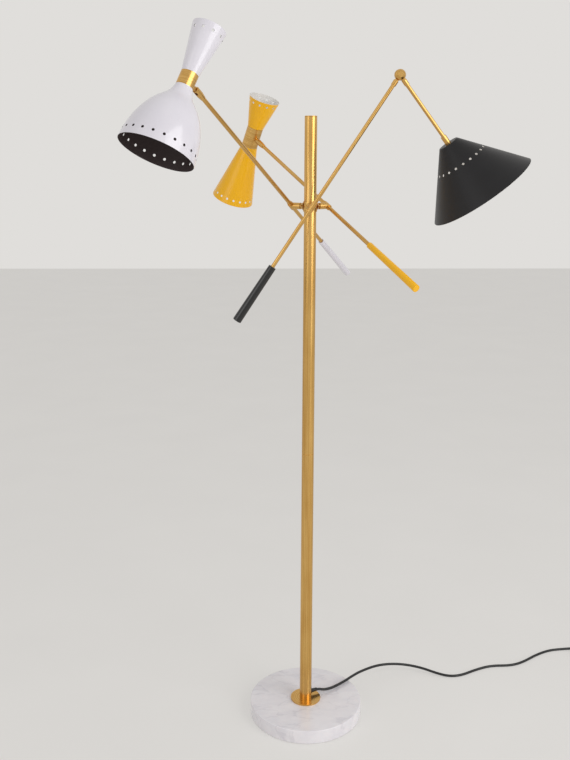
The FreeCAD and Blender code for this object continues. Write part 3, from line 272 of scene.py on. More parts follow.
@dataclass(frozen=True)
class SprayedEnamel(Finish):
    """Stoved enamel on spun metal. The thin coat gives clear highlights over a faint orange peel,
    and it pulls a little lighter and darker over the form."""

    colour: str
    shade: str
    shine: float
    gloss_coat: float
    specular: float = 0.5
    coat_rough: float = 0.08
    depth: float = 0.006

    def dress(self, tree: Tree, vector: Source) -> dict:
        """Brings the clouding into the colour and the shine, and the peel into the relief.

        Args:
            tree: The node tree.
            vector: The piece's coordinates in metres.

        Returns:
            The shader's inputs.
        """
        cloud = self.pattern(tree, vector, (60, 60, 60))
        # Orange peel has cells of about 1 mm. They are drawn at 6 mm so that they show.
        peel = self.pattern(tree, vector, (6, 6, 6), 0.0, 0.4)
        stops = ((0.3, self.shade), (0.7, self.colour))
        spread = {"To Min": self.shine - 0.03, "To Max": self.shine + 0.05}
        bump = {"Strength": 1.0, "Distance": self.depth * MM, "Height": peel}
        return {
            "Base Color": add_node(tree, "ShaderNodeValToRGB", {"Fac": cloud}, stops),
            "Roughness": add_node(tree, "ShaderNodeMapRange", {"Value": cloud, **MOSTLY, **spread}),
            "Normal": add_node(tree, "ShaderNodeBump", bump),
            "Specular IOR Level": self.specular,
            "Coat Weight": self.gloss_coat,
            "Coat Roughness": self.coat_rough,
        }


@dataclass(frozen=True)
class PolishedMarble(Finish):
    """White marble, sawn and polished: soft grey clouds and thin veins under a clear shine."""

    ground: str = "#F4F1F5"
    cloud: str = "#EAE7ED"
    vein: str = "#C9C6CF"
    bend: float = 0.05
    vein_half: float = 0.035
    vein_weight: float = 0.5

    def veins(self, tree: Tree, vector: Source, clouds: Node) -> Node:
        """The veins, which wander and fade.

        Args:
            tree: The node tree.
            vector: The piece's coordinates in metres.
            clouds: The clouds, between which the veins fade.

        Returns:
            How strong the vein's colour is, from 0 to 1.
        """
        wander = self.pattern(tree, vector, (70, 70, 70), 4.0)
        far = {0: wander.outputs["Color"], 1: (self.bend,) * 3}
        push = add_node(tree, "ShaderNodeVectorMath", far, operation="MULTIPLY")
        moved = add_node(tree, "ShaderNodeVectorMath", {0: vector, 1: push}, operation="ADD")
        lines = self.pattern(tree, moved, (95, 40, 80), 3.0, 0.45)
        # A vein is where this noise crosses its middle value, a few millimetres wide.
        middle = add_node(tree, "ShaderNodeMath", {0: lines, 1: 0.5}, operation="SUBTRACT")
        apart = add_node(tree, "ShaderNodeMath", {0: middle}, operation="ABSOLUTE")
        edge = {"From Min": 0.0, "From Max": self.vein_half, "To Min": self.vein_weight}
        thin = add_node(
            tree,
            "ShaderNodeMapRange",
            {"Value": apart, **edge, "To Max": 0.0},
            interpolation_type="SMOOTHSTEP",
        )
        fading = {"Value": clouds, **MOSTLY, "To Min": 0.9, "To Max": 0.1}
        faded = add_node(tree, "ShaderNodeMapRange", fading)
        return add_node(tree, "ShaderNodeMath", {0: thin, 1: faded}, operation="MULTIPLY")

    def dress(self, tree: Tree, vector: Source) -> dict:
        """Brings the clouds and the veins into the colour, and the clouds into the shine.

        Args:
            tree: The node tree.
            vector: The piece's coordinates in metres.

        Returns:
            The shader's inputs.
        """
        clouds = self.pattern(tree, vector, (60, 35, 60), 6.0, 0.6)
        stops = ((0.36, self.cloud), (0.62, self.ground))
        base = add_node(tree, "ShaderNodeValToRGB", {"Fac": clouds}, stops)
        veins = self.veins(tree, vector, clouds)
        colours = {"Factor": veins, 6: base, 7: linear(self.vein)}
        mixed = add_node(tree, "ShaderNodeMix", colours, data_type="RGBA")
        spread = {"Value": clouds, **MOSTLY, "To Min": 0.14, "To Max": 0.22}
        return {
            "Base Color": mixed.outputs[2],
            "Roughness": add_node(tree, "ShaderNodeMapRange", spread),
            "IOR": 1.55,
            "Subsurface Weight": 0.06,
            "Subsurface Radius": (0.006, 0.005, 0.005),
            "Subsurface Scale": 1.0,
        }


@dataclass(frozen=True)
class PlainFinish(Finish):
    """A surface of one colour that lightens in patches. The shine and the relief follow a grain of
    its own, or else the patches."""

    colour: str
    light: str
    shine: tuple[float, float] | None = None
    grain_mm: float = 0.0
    patch_mm: tuple[float, float, float] = (18, 18, 18)
    detail: float = 2.0
    fineness: float = 0.5
    low: float = 0.3
    depth: float = 0.0

    def constants(self) -> dict:
        """The shader's inputs that no pattern drives."""
        return {}

    def dress(self, tree: Tree, vector: Source) -> dict:
        """Brings the patches into the colour, and the grain into the shine and the relief.

        Args:
            tree: The node tree.
            vector: The piece's coordinates in metres.

        Returns:
            The shader's inputs.
        """
        patches = self.pattern(tree, vector, self.patch_mm, self.detail, self.fineness)
        grain = self.pattern(tree, vector, (self.grain_mm,) * 3) if self.grain_mm else patches
        stops = ((self.low, self.colour), (1 - self.low, self.light))
        inputs = {"Base Color": add_node(tree, "ShaderNodeValToRGB", {"Fac": patches}, stops)}
        if self.shine:
            spread = {"Value": grain, **MOSTLY, "To Min": self.shine[0], "To Max": self.shine[1]}
            inputs["Roughness"] = add_node(tree, "ShaderNodeMapRange", spread)
        if self.depth:
            bump = {"Strength": 1.0, "Distance": self.depth * MM, "Height": grain}
            inputs["Normal"] = add_node(tree, "ShaderNodeBump", bump)
        return {**inputs, **self.constants()}


@dataclass(frozen=True)
class MouldedPlastic(PlainFinish):
    """Moulded PVC or phenolic, with the faint grain of its tool."""

    depth: float = 0.03


@dataclass(frozen=True)
class WoolFelt(PlainFinish):
    """Pressed felt, matted in fibres of a millimetre or two."""

    patch_mm: tuple[float, float, float] = (1.4, 1.4, 1.4)
    detail: float = 5.0
    fineness: float = 0.7
    low: float = 0.35
    depth: float = 0.25

    def constants(self) -> dict:
        """A dull face with a bloom of loose fibres."""
        return {"Roughness": 0.95, "Sheen Weight": 0.3}


@dataclass(frozen=True)
class DrawnSteel(PlainFinish):
    """Zinc-plated drawn steel, grey with a soft shine."""

    patch_mm: tuple[float, float, float] = (0.8, 0.8, 14)

    def constants(self) -> dict:
        """A bare metal."""
        return {"Metallic": 1.0}


@dataclass(frozen=True)
class OpalGlass(PlainFinish):
    """An opal bulb: milky, glossy, and slightly see-through at its skin."""

    patch_mm: tuple[float, float, float] = (12, 12, 12)

    def constants(self) -> dict:
        """Light that passes a few millimetres into the glass."""
        depth = (0.004, 0.004, 0.004)
        return {"Subsurface Weight": 0.2, "Subsurface Radius": depth, "Subsurface Scale": 1.0}


@dataclass(frozen=True)
class MattPaint(PlainFinish):
    """Matt floor paint, rolled on, which shows only a faint clouding."""

    patch_mm: tuple[float, float, float] = (1000 / 3, 1000 / 3, 1000 / 3)

    def constants(self) -> dict:
        """A chalky face with little mirror in it."""
        return {"Roughness": 0.8, "Specular IOR Level": 0.2}


# ---------------------------------------------------------------- finishes of this lamp
BRASS_BAR = BrushedBrass("brass bar, brushed lengthwise")
BRASS_TURNED = BrushedBrass("brass, brushed on the lathe", Grain.TURNED)
BRASS_FACED = BrushedBrass("brass disc, faced on the lathe", Grain.FACED)
WHITE_ENAMEL = SprayedEnamel("white stoved enamel", "#E9E6EE", "#E4E1EA", 0.2, 0.35)
YELLOW_ENAMEL = SprayedEnamel("amber yellow enamel", "#FFC005", "#FEBC04", 0.26, 0.2, 0.4)
BLACK_ENAMEL = SprayedEnamel("satin black enamel", "#0F0E12", "#0B0A0D", 0.4, 0.0, 0.4)
BLACK_GLOSS = SprayedEnamel("gloss black enamel", "#0B0B0D", "#09090A", 0.14, 0.3)
INNER_WHITE = SprayedEnamel("white enamel inside", "#EFEDEA", "#E6E3DF", 0.4, 0.0)
INNER_DARK = SprayedEnamel("charcoal enamel inside the bell", "#3F3232", "#382C2C", 0.6, 0.0)
MARBLE = PolishedMarble("white marble, polished")
FELT = WoolFelt("pressed wool felt", "#26262A", "#3A3A3F")
STEEL = DrawnSteel("zinc-plated steel", "#9C9DA0", "#B9BABC", (0.3, 0.42))
CORD_PVC = MouldedPlastic("cord sheath in soft PVC", "#0F0F11", "#17171A", (0.31, 0.44), 2.0)
PLUG_PVC = MouldedPlastic("moulded plug in PVC", "#18181A", "#242427", (0.4, 0.53), 1.0)
PHENOLIC = MouldedPlastic("lampholder in phenolic", "#1A1817", "#272422", (0.25, 0.38), 1.5)
OPAL = OpalGlass("opal bulb", "#F4F1EA", "#FBF9F4", (0.1, 0.18))
FLOOR_PAINT = MattPaint("pale floor", "#EEECE9", "#F2F0ED")


# ---------------------------------------------------------------- mesh helpers
# Edges that bend by more than BLUNT degrees are rounded, and corners within SAME millimetres of
# each other are one.
BLUNT = 30
SAME = 1e-4


def place_along(origin: Vector, along: Vector, side: Vector) -> Matrix:
    """A place with Z along a direction and X near another.

    Args:
        origin: The place's origin, in metres.
        along: The direction of Z.
        side: The direction that X is kept near.

    Returns:
        The place as a matrix.
    """
    z = along.normalized()
    y = z.cross(side).normalized()
    x = y.cross(z)
    turned = Matrix((x, y, z)).transposed().to_4x4()
    return Matrix.Translation(origin) @ turned


def turn_outline(
    outline: list[tuple[float, float]], steps: int, closed: bool = False
) -> bmesh.types.BMesh:
    """Spins an outline of radii and heights about Z.

    Args:
        outline: Radii and heights in millimetres, in order.
        steps: How many steps a full turn has.
        closed: Whether the last corner joins the first.

    Returns:
        The turned surface, with its seam and poles closed.
    """
    mesh = bmesh.new()
    corners = [mesh.verts.new((radius, 0, height)) for radius, height in outline]
    runs = list(zip(corners, corners[1:] + (corners[:1] if closed else [])))
    edges = [mesh.edges.new(run) for run in runs]
    bmesh.ops.spin(
        mesh,
        geom=corners + edges,
        cent=(0, 0, 0),
        axis=(0, 0, 1),
        angle=2 * math.pi,
        steps=steps,
        use_merge=True,
    )
    bmesh.ops.remove_doubles(mesh, verts=mesh.verts, dist=SAME)
    bmesh.ops.recalc_face_normals(mesh, faces=mesh.faces)
    return mesh


def soften(mesh: bmesh.types.BMesh, width: float, segments: int) -> None:
    """Rounds every edge that bends by more than BLUNT degrees.

    Args:
        mesh: The mesh to change.
        width: The width of the rounding, in millimetres.
        segments: How many faces the rounding has.
    """
    limit = math.radians(BLUNT)
    sharp = [e for e in mesh.edges if len(e.link_faces) == 2 and e.calc_face_angle() > limit]
    bmesh.ops.bevel(
        mesh,
        geom=sharp,
        offset=width,
        offset_type="OFFSET",
        affect="EDGES",
        segments=segments,
        profile=0.5,
        material=-1,
        clamp_overlap=True,
    )


def add_object(name: str, data: bpy.types.ID) -> bpy.types.Object:
    """Puts a mesh, a curve, a light or a camera into the scene.

    Args:
        name: The object's name.
        data: What the object holds.

    Returns:
        The new object, at the origin.
    """
    item = bpy.data.objects.new(name, data)
    bpy.context.scene.collection.objects.link(item)
    return item


def finish_piece(
    mesh: bmesh.types.BMesh,
    name: str,
    place: Matrix,
    materials: list[bpy.types.Material],
    body: str,
    sharp_degrees: float = 40,
) -> bpy.types.Object:
    """Makes an object of a mesh, with its place in the mesh, and lets it ride on a body.

    Args:
        mesh: The mesh in millimetres, in the piece's own frame.
        name: The object's name.
        place: The piece's place in the lamp, in metres.
        materials: The materials, in the order of the faces' numbers.
        body: The body that the piece rides on.
        sharp_degrees: Edges that bend more than this are shaded sharp.

    Returns:
        The new object.
    """
    bmesh.ops.transform(mesh, matrix=place @ Matrix.Scale(MM, 4), verts=mesh.verts)
    limit = math.radians(sharp_degrees)
    for face in mesh.faces:
        face.smooth = True
    for edge in mesh.edges:
        edge.smooth = len(edge.link_faces) != 2 or edge.calc_face_angle() < limit
    data = bpy.data.meshes.new(name)
    mesh.to_mesh(data)
    mesh.free()
    for material in materials:
        data.materials.append(material)
    piece = add_object(name, data)
    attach(piece, body)
    log.info("%s: %d faces on %s", name, len(data.polygons), body)
    return piece


def join_mesh(whole: bmesh.types.BMesh, part: bmesh.types.BMesh, place: Matrix) -> None:
    """Adds a mesh to another at a place given in millimetres.

    Args:
        whole: The mesh that grows.
        part: The mesh to add, which is freed.
        place: Where it goes.
    """
    bmesh.ops.transform(part, matrix=place, verts=part.verts)
    carrier = bpy.data.meshes.new("carrier")
    part.to_mesh(carrier)
    part.free()
    whole.from_mesh(carrier)
    bpy.data.meshes.remove(carrier)


def dress_node(node: str, material: bpy.types.Material) -> None:
    """Gives a CAD node its finish.

    Args:
        node: The node's name.
        material: The material that it gets.
    """
    data = frame["nodes"][node].data
    data.materials.clear()
    data.materials.append(material)
    log.info("%s: CAD node in %s", node, material.name)


def joint_place(name: str) -> tuple[Vector, Vector]:
    """Where a joint turns.

    Args:
        name: The joint's name.

    Returns:
        A point on its axis in metres, and the axis.
    """
    joint = JOINTS[name]
    return Vector(joint["pos_m"]), Vector(joint["axis"]).normalized()


# ---------------------------------------------------------------- foot and pole
@dataclass
class Foot:
    """The marble disc with its rounded edge, the felt under it and the brass disc on it."""

    marble_d: float = 300.0
    low: float = 1.5
    thick: float = 35.0
    edge: float = 2.4
    recess_d: float = 60.0
    recess_deep: float = 14.0
    bore_d: float = 12.0
    steps: int = 128

    def build(self) -> None:
        """Builds the marble and dresses the felt, the disc and the hidden tie rod."""
        rim, bore, recess = self.marble_d / 2, self.bore_d / 2, self.recess_d / 2
        outline = [(recess, 0), (rim, 0), (rim, self.thick), (bore, self.thick)]
        outline += [(bore, self.recess_deep), (recess, self.recess_deep)]
        mesh = turn_outline(outline, self.steps, closed=True)
        soften(mesh, self.edge, segments=5)
        place = Matrix.Translation((0, 0, self.low * MM))
        piece = finish_piece(mesh, "marble_foot", place, [MARBLE.material()], "stand", 60)
        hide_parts("marble_base")
        dress_node("floor_pad", FELT.material())
        dress_node("tie_rod", STEEL.material())
        dress_node("base_flange", BRASS_FACED.material())


@dataclass
class Pole:
    """Two lengths of brushed brass tube with a fine joint, a hub and a cap."""

    def build(self) -> None:
        """Dresses the pole, its sleeve and the hub."""
        for node in ("lower_pole", "upper_pole", "pole_coupler"):
            dress_node(node, BRASS_BAR.material())
        dress_node("hub_collar", BRASS_TURNED.material(suffix="hub"))


# ---------------------------------------------------------------- arms
@dataclass
class Arm:
    """A balanced arm: its rod from the CAD part, and a turned counterweight in enamel."""

    colour: str
    paint: Finish
    tip_joint: str
    tail: float
    weight_long: float
    weight_slim: float
    weight_wide: float
    bore: float = 5.05
    grip: float = 34.0
    edge: float = 1.5
    steps: int = 64

    @property
    def axis(self) -> tuple[Vector, Vector, Vector]:
        """Where the arm turns.

        Returns:
            The knuckle, the direction along the rod and the tilt axis.
        """
        knuckle, tilt = joint_place(f"{self.colour}_arm_tilt")
        tip, _ = joint_place(self.tip_joint)
        return knuckle, (tip - knuckle).normalized(), tilt

    def build(self) -> None:
        """Builds the counterweight and dresses the rod."""
        knuckle, along, tilt = self.axis
        rod_place = place_along(knuckle, along, tilt)
        dress_node(f"{self.colour}_rod", BRASS_BAR.material(rod_place, f"{self.colour} arm"))
        wide = self.weight_wide / 2
        slim = self.weight_slim / 2
        long = self.weight_long
        inner = long - self.grip
        outline = [(0, 0), (wide * 0.8, 0), (wide, 0), ((wide + slim) / 2, long / 2)]
        outline += [(slim, long), (self.bore, long), (self.bore, inner), (0, inner)]
        mesh = turn_outline(outline, self.steps)
        soften(mesh, self.edge, segments=4)
        place = place_along(knuckle - along * (self.tail * MM), along, tilt)
        name = f"{self.colour}_weight"
        piece = finish_piece(mesh, name, place, [self.paint.material()], f"{self.colour}_arm", 50)
        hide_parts(f"{self.colour}_counterweight")


# ---------------------------------------------------------------- shades, lampholders and bulbs
# Each hole takes a block of the wall, this many columns wide and as many rows high.
BLOCK = 6
HALF = BLOCK // 2


@dataclass
class Shade:
    """A spun shade with a ring of round holes."""

    name: str
    stations: list[tuple[float, float]]
    neck_bore: float
    holes: int
    hole_at: float
    outside: Finish
    inside: Finish
    hole_d: float = 6.0
    sheet: float = 1.2
    edge: float = 0.35
    # Half the height of a hole's block along the wall, in widths of a hole, and how near to the
    # block a corner of the outline may lie.
    margin: float = 0.95
    clear: float = 2.0

    def radius(self, height: float) -> float:
        """The outer radius at a height.

        Args:
            height: Distance from the neck, in millimetres.

        Returns:
            The radius, in millimetres.
        """
        for (low, low_r), (high, high_r) in zip(self.stations, self.stations[1:]):
            if height <= high:
                return low_r + (high_r - low_r) * (height - low) / (high - low)
        return self.stations[-1][1]

    def on_wall(self, angle: float, height: float) -> Vector:
        """A point of the outer wall.

        Args:
            angle: The direction round the axis, in radians.
            height: Distance from the neck, in millimetres.

        Returns:
            The point.
        """
        radius = self.radius(height)
        return Vector((radius * math.cos(angle), radius * math.sin(angle), height))

    def band(self) -> tuple[float, list[float]]:
        """The rows of the wall that the holes are cut in.

        Returns:
            How much height one millimetre of slant takes, and the rows' heights.
        """
        at = self.hole_at
        run = self.radius(at + 1) - self.radius(at - 1)
        rise = 2 / math.hypot(2, run)
        half = self.hole_d * self.margin
        return rise, [at + half * rise * (row - HALF) / HALF for row in range(BLOCK + 1)]

    def build(self, place: Matrix, body: str, node: str, slot: str) -> bpy.types.Object:
        """Builds the shade in place of its CAD node.

        Args:
            place: The neck's place, with Z towards the rim.
            body: The body that it rides on.
            node: The CAD node that it stands for.
            slot: Not used.

        Returns:
            The shade.
        """
        rise, rows = self.band()
        low, high = rows[0] - self.clear, rows[-1] + self.clear
        heights = sorted({h for h, _ in self.stations if not low <= h <= high} | set(rows))
        outline = [(self.neck_bore, 0.0)] + [(self.radius(h), h) for h in heights]
        columns = self.holes * BLOCK
        mesh = turn_outline(outline, columns)
        self.pierce(mesh, rows, rise, columns)
        bmesh.ops.recalc_face_normals(mesh, faces=mesh.faces)
        if sum(f.normal.dot(f.calc_center_median().xy.to_3d()) for f in mesh.faces) < 0:
            bmesh.ops.reverse_faces(mesh, faces=mesh.faces)
        materials = [self.outside.material(), self.inside.material()]
        piece = finish_piece(mesh, self.name, place, materials, body, 60)
        wall = piece.modifiers.new("sheet metal", "SOLIDIFY")
        wall.thickness = self.sheet * MM
        wall.offset = -1.0
        wall.use_even_offset = True
        wall.material_offset = 1
        wall.material_offset_rim = 1
        edge = piece.modifiers.new("turned edges", "BEVEL")
        edge.width = self.edge * MM
        edge.segments = 2
        edge.limit_method = "ANGLE"
        edge.angle_limit = math.radians(50)
        edge.harden_normals = True
        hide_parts(node)
        return piece

    def pierce(
        self, mesh: bmesh.types.BMesh, rows: list[float], rise: float, columns: int
    ) -> None:
        """Opens a round hole in each block of the wall.

        Args:
            mesh: The turned wall.
            rows: The heights of the block's rows.
            rise: How much height one millimetre of slant takes.
            columns: How many columns the wall has.
        """
        grid = {}
        for vert in mesh.verts:
            height = vert.co.z
            if not rows[0] - SAME < height < rows[-1] + SAME:
                continue
            row = min(range(BLOCK + 1), key=lambda r: abs(rows[r] - height))
            turn = math.atan2(vert.co.y, vert.co.x) / (2 * math.pi) * columns
            grid[(round(turn) % columns, row)] = vert
        ring = [(x, y) for x in range(-2, 3) for y in range(-2, 3) if max(abs(x), abs(y)) == 2]
        radius = self.hole_d / 2
        inner = [(x, y) for x in (-1, 0, 1) for y in (-1, 0, 1)]
        gone = []
        for hole in range(self.holes):
            centre = hole * BLOCK + HALF
            middle = 2 * math.pi * centre / columns
            wall_radius = self.radius(self.hole_at)
            for x, y in ring:
                way = Vector((x, y)).normalized() * radius
                vert = grid[((centre + x) % columns, HALF + y)]
                vert.co = self.on_wall(middle + way.x / wall_radius, self.hole_at + way.y * rise)
            gone += [grid[((centre + x) % columns, HALF + y)] for x, y in inner]
        bmesh.ops.delete(mesh, geom=gone, context="VERTS")


@dataclass
class Socket:
    """A lampholder with its shade ring, and the small opal bulb in it."""

    foot_d: float
    ring_at: float
    body_d: float = 26.0
    bore_d: float = 22.0
    long: float = 40.0
    back: float = 12.0
    bulb_d: float = 39.0
    base_d: float = 17.5
    base_deep: float = 22.0
    neck_at: float = 43.0
    ring_r: float = 17.0
    rib: float = 3.0
    slim: float = 0.8
    crown_rings: int = 12

    def holder(self) -> bmesh.types.BMesh:
        """Turns the lampholder and the ring that clamps the shade.

        Returns:
            Both as one mesh, in millimetres.
        """
        foot, body, bore = self.foot_d / 2, self.body_d / 2, self.bore_d / 2
        mouth = body - self.slim
        low, top = self.ring_at, self.ring_at + self.rib
        outline = [(0, 0), (foot, 0), (foot, 2), (body, 2), (body, low), (self.ring_r, low)]
        outline += [(self.ring_r, top), (body, top), (body, self.long - self.rib - 1)]
        outline += [(mouth, self.long - self.rib), (mouth, self.long), (bore, self.long)]
        outline += [(bore, self.back), (0, self.back)]
        mesh = turn_outline(outline, 48)
        soften(mesh, 0.4, segments=2)
        return mesh

    def bulb(self) -> bmesh.types.BMesh:
        """Turns the bulb, from its base to its crown.

        Returns:
            The mesh, in millimetres.
        """
        ball = self.bulb_d / 2
        base = self.base_d / 2
        middle = self.neck_at + math.sqrt(ball**2 - base**2)
        start = math.asin((self.neck_at - middle) / ball)
        low = self.long - self.base_deep
        outline = [(0, low), (base, low), (base, self.neck_at - 2)]
        for step in range(self.crown_rings + 1):
            angle = start + (math.pi / 2 - start) * step / self.crown_rings
            outline.append((ball * math.cos(angle), middle + ball * math.sin(angle)))
        outline[-1] = (0, middle + ball)
        return turn_outline(outline, 40)


@dataclass
class DoubleHead:
    """A head of two shades on a brass collar, which tilts and turns on the end of an arm."""

    colour: str
    joint_to_axis: float
    roll: float
    collar_long: float
    inset: float
    foot_d: float
    big: Shade
    small: Shade

    @property
    def axes(self) -> tuple[Vector, Vector, Vector]:
        """The end of the arm, the tilt axis, and the stud that the head rolls on."""
        tip, tilt = joint_place(f"{self.colour}_head_tilt")
        return tip, tilt, joint_place(f"{self.colour}_head_roll")[1]

    @property
    def middle(self) -> Matrix:
        """Where the collar sits.

        Returns:
            The place of its middle, with Z towards the small shade.
        """
        tip, tilt, stud = self.axes
        turn = Matrix.Rotation(math.radians(-self.roll), 3, stud)
        towards_small = -(turn @ stud.cross(tilt))
        return place_along(tip + stud * (self.joint_to_axis * MM), towards_small, -stud)

    def build(self) -> None:
        """Builds both shades with their lampholders and bulbs, and dresses the brass."""
        place = self.middle
        half = self.collar_long / 2
        ends = {
            "small": Matrix.Translation((0, 0, half)),
            "big": Matrix.Translation((0, 0, -half)) @ Matrix.Rotation(math.pi, 4, "X"),
        }
        body = f"{self.colour}_head"
        slot = f"{self.colour}_shade_metal"
        socket = Socket(self.foot_d, self.inset + self.big.sheet)
        holders = bmesh.new()
        bulbs = bmesh.new()
        for side, shade in (("big", self.big), ("small", self.small)):
            end = ends[side]
            metres = end.copy()
            metres.translation = end.translation * MM
            shade.build(place @ metres, body, f"{self.colour}_{side}_shade", slot)
            inner = end @ Matrix.Translation((0, 0, -self.inset))
            join_mesh(holders, socket.holder(), inner)
            join_mesh(bulbs, socket.bulb(), inner)
        name = f"{self.colour}_holders"
        piece = finish_piece(holders, name, place, [PHENOLIC.material()], body)
        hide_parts(f"{self.colour}_lampholders")
        piece = finish_piece(bulbs, f"{self.colour}_opal_bulbs", place, [OPAL.material()], body)
        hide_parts(f"{self.colour}_bulbs")
        dress_node(f"{self.colour}_collar", BRASS_TURNED.material(place, f"{self.colour} collar"))
        tip, tilt, stud = self.axes
        neck = place_along(tip, stud, tilt)
        dress_node(f"{self.colour}_tongue", BRASS_TURNED.material(neck, f"{self.colour} tongue"))


@dataclass
class ConeHead:
    """The forearm below the elbow, with the wide black cone."""

    shade: Shade
    forearm_down: float = 36.6
    forearm_long: float = 209.0
    inset: float = 4.2
    foot_d: float = 34.0
    ring_at: float = 2.0

    def build(self) -> None:
        """Builds the cone with its lampholder and bulb, and dresses the forearm."""
        elbow, tilt = joint_place("black_elbow")
        down = math.radians(self.forearm_down)
        along = Vector((math.sin(down), 0, -math.cos(down)))
        body = "black_lower_arm"
        forearm = place_along(elbow, along, tilt)
        dress_node("black_forearm", BRASS_BAR.material(forearm, "forearm"))
        top = place_along(elbow + along * (self.forearm_long * MM), along, tilt)
        self.shade.build(top, body, "black_shade", "black_shade_metal")
        inner = top @ Matrix.Translation((0, 0, self.inset * MM))
        socket = Socket(self.foot_d, self.ring_at)
        piece = finish_piece(socket.holder(), "black_holder", inner, [PHENOLIC.material()], body)
        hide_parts("black_lampholder")
        piece = finish_piece(socket.bulb(), "black_opal_bulb", inner, [OPAL.material()], body)
        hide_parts("black_bulb")


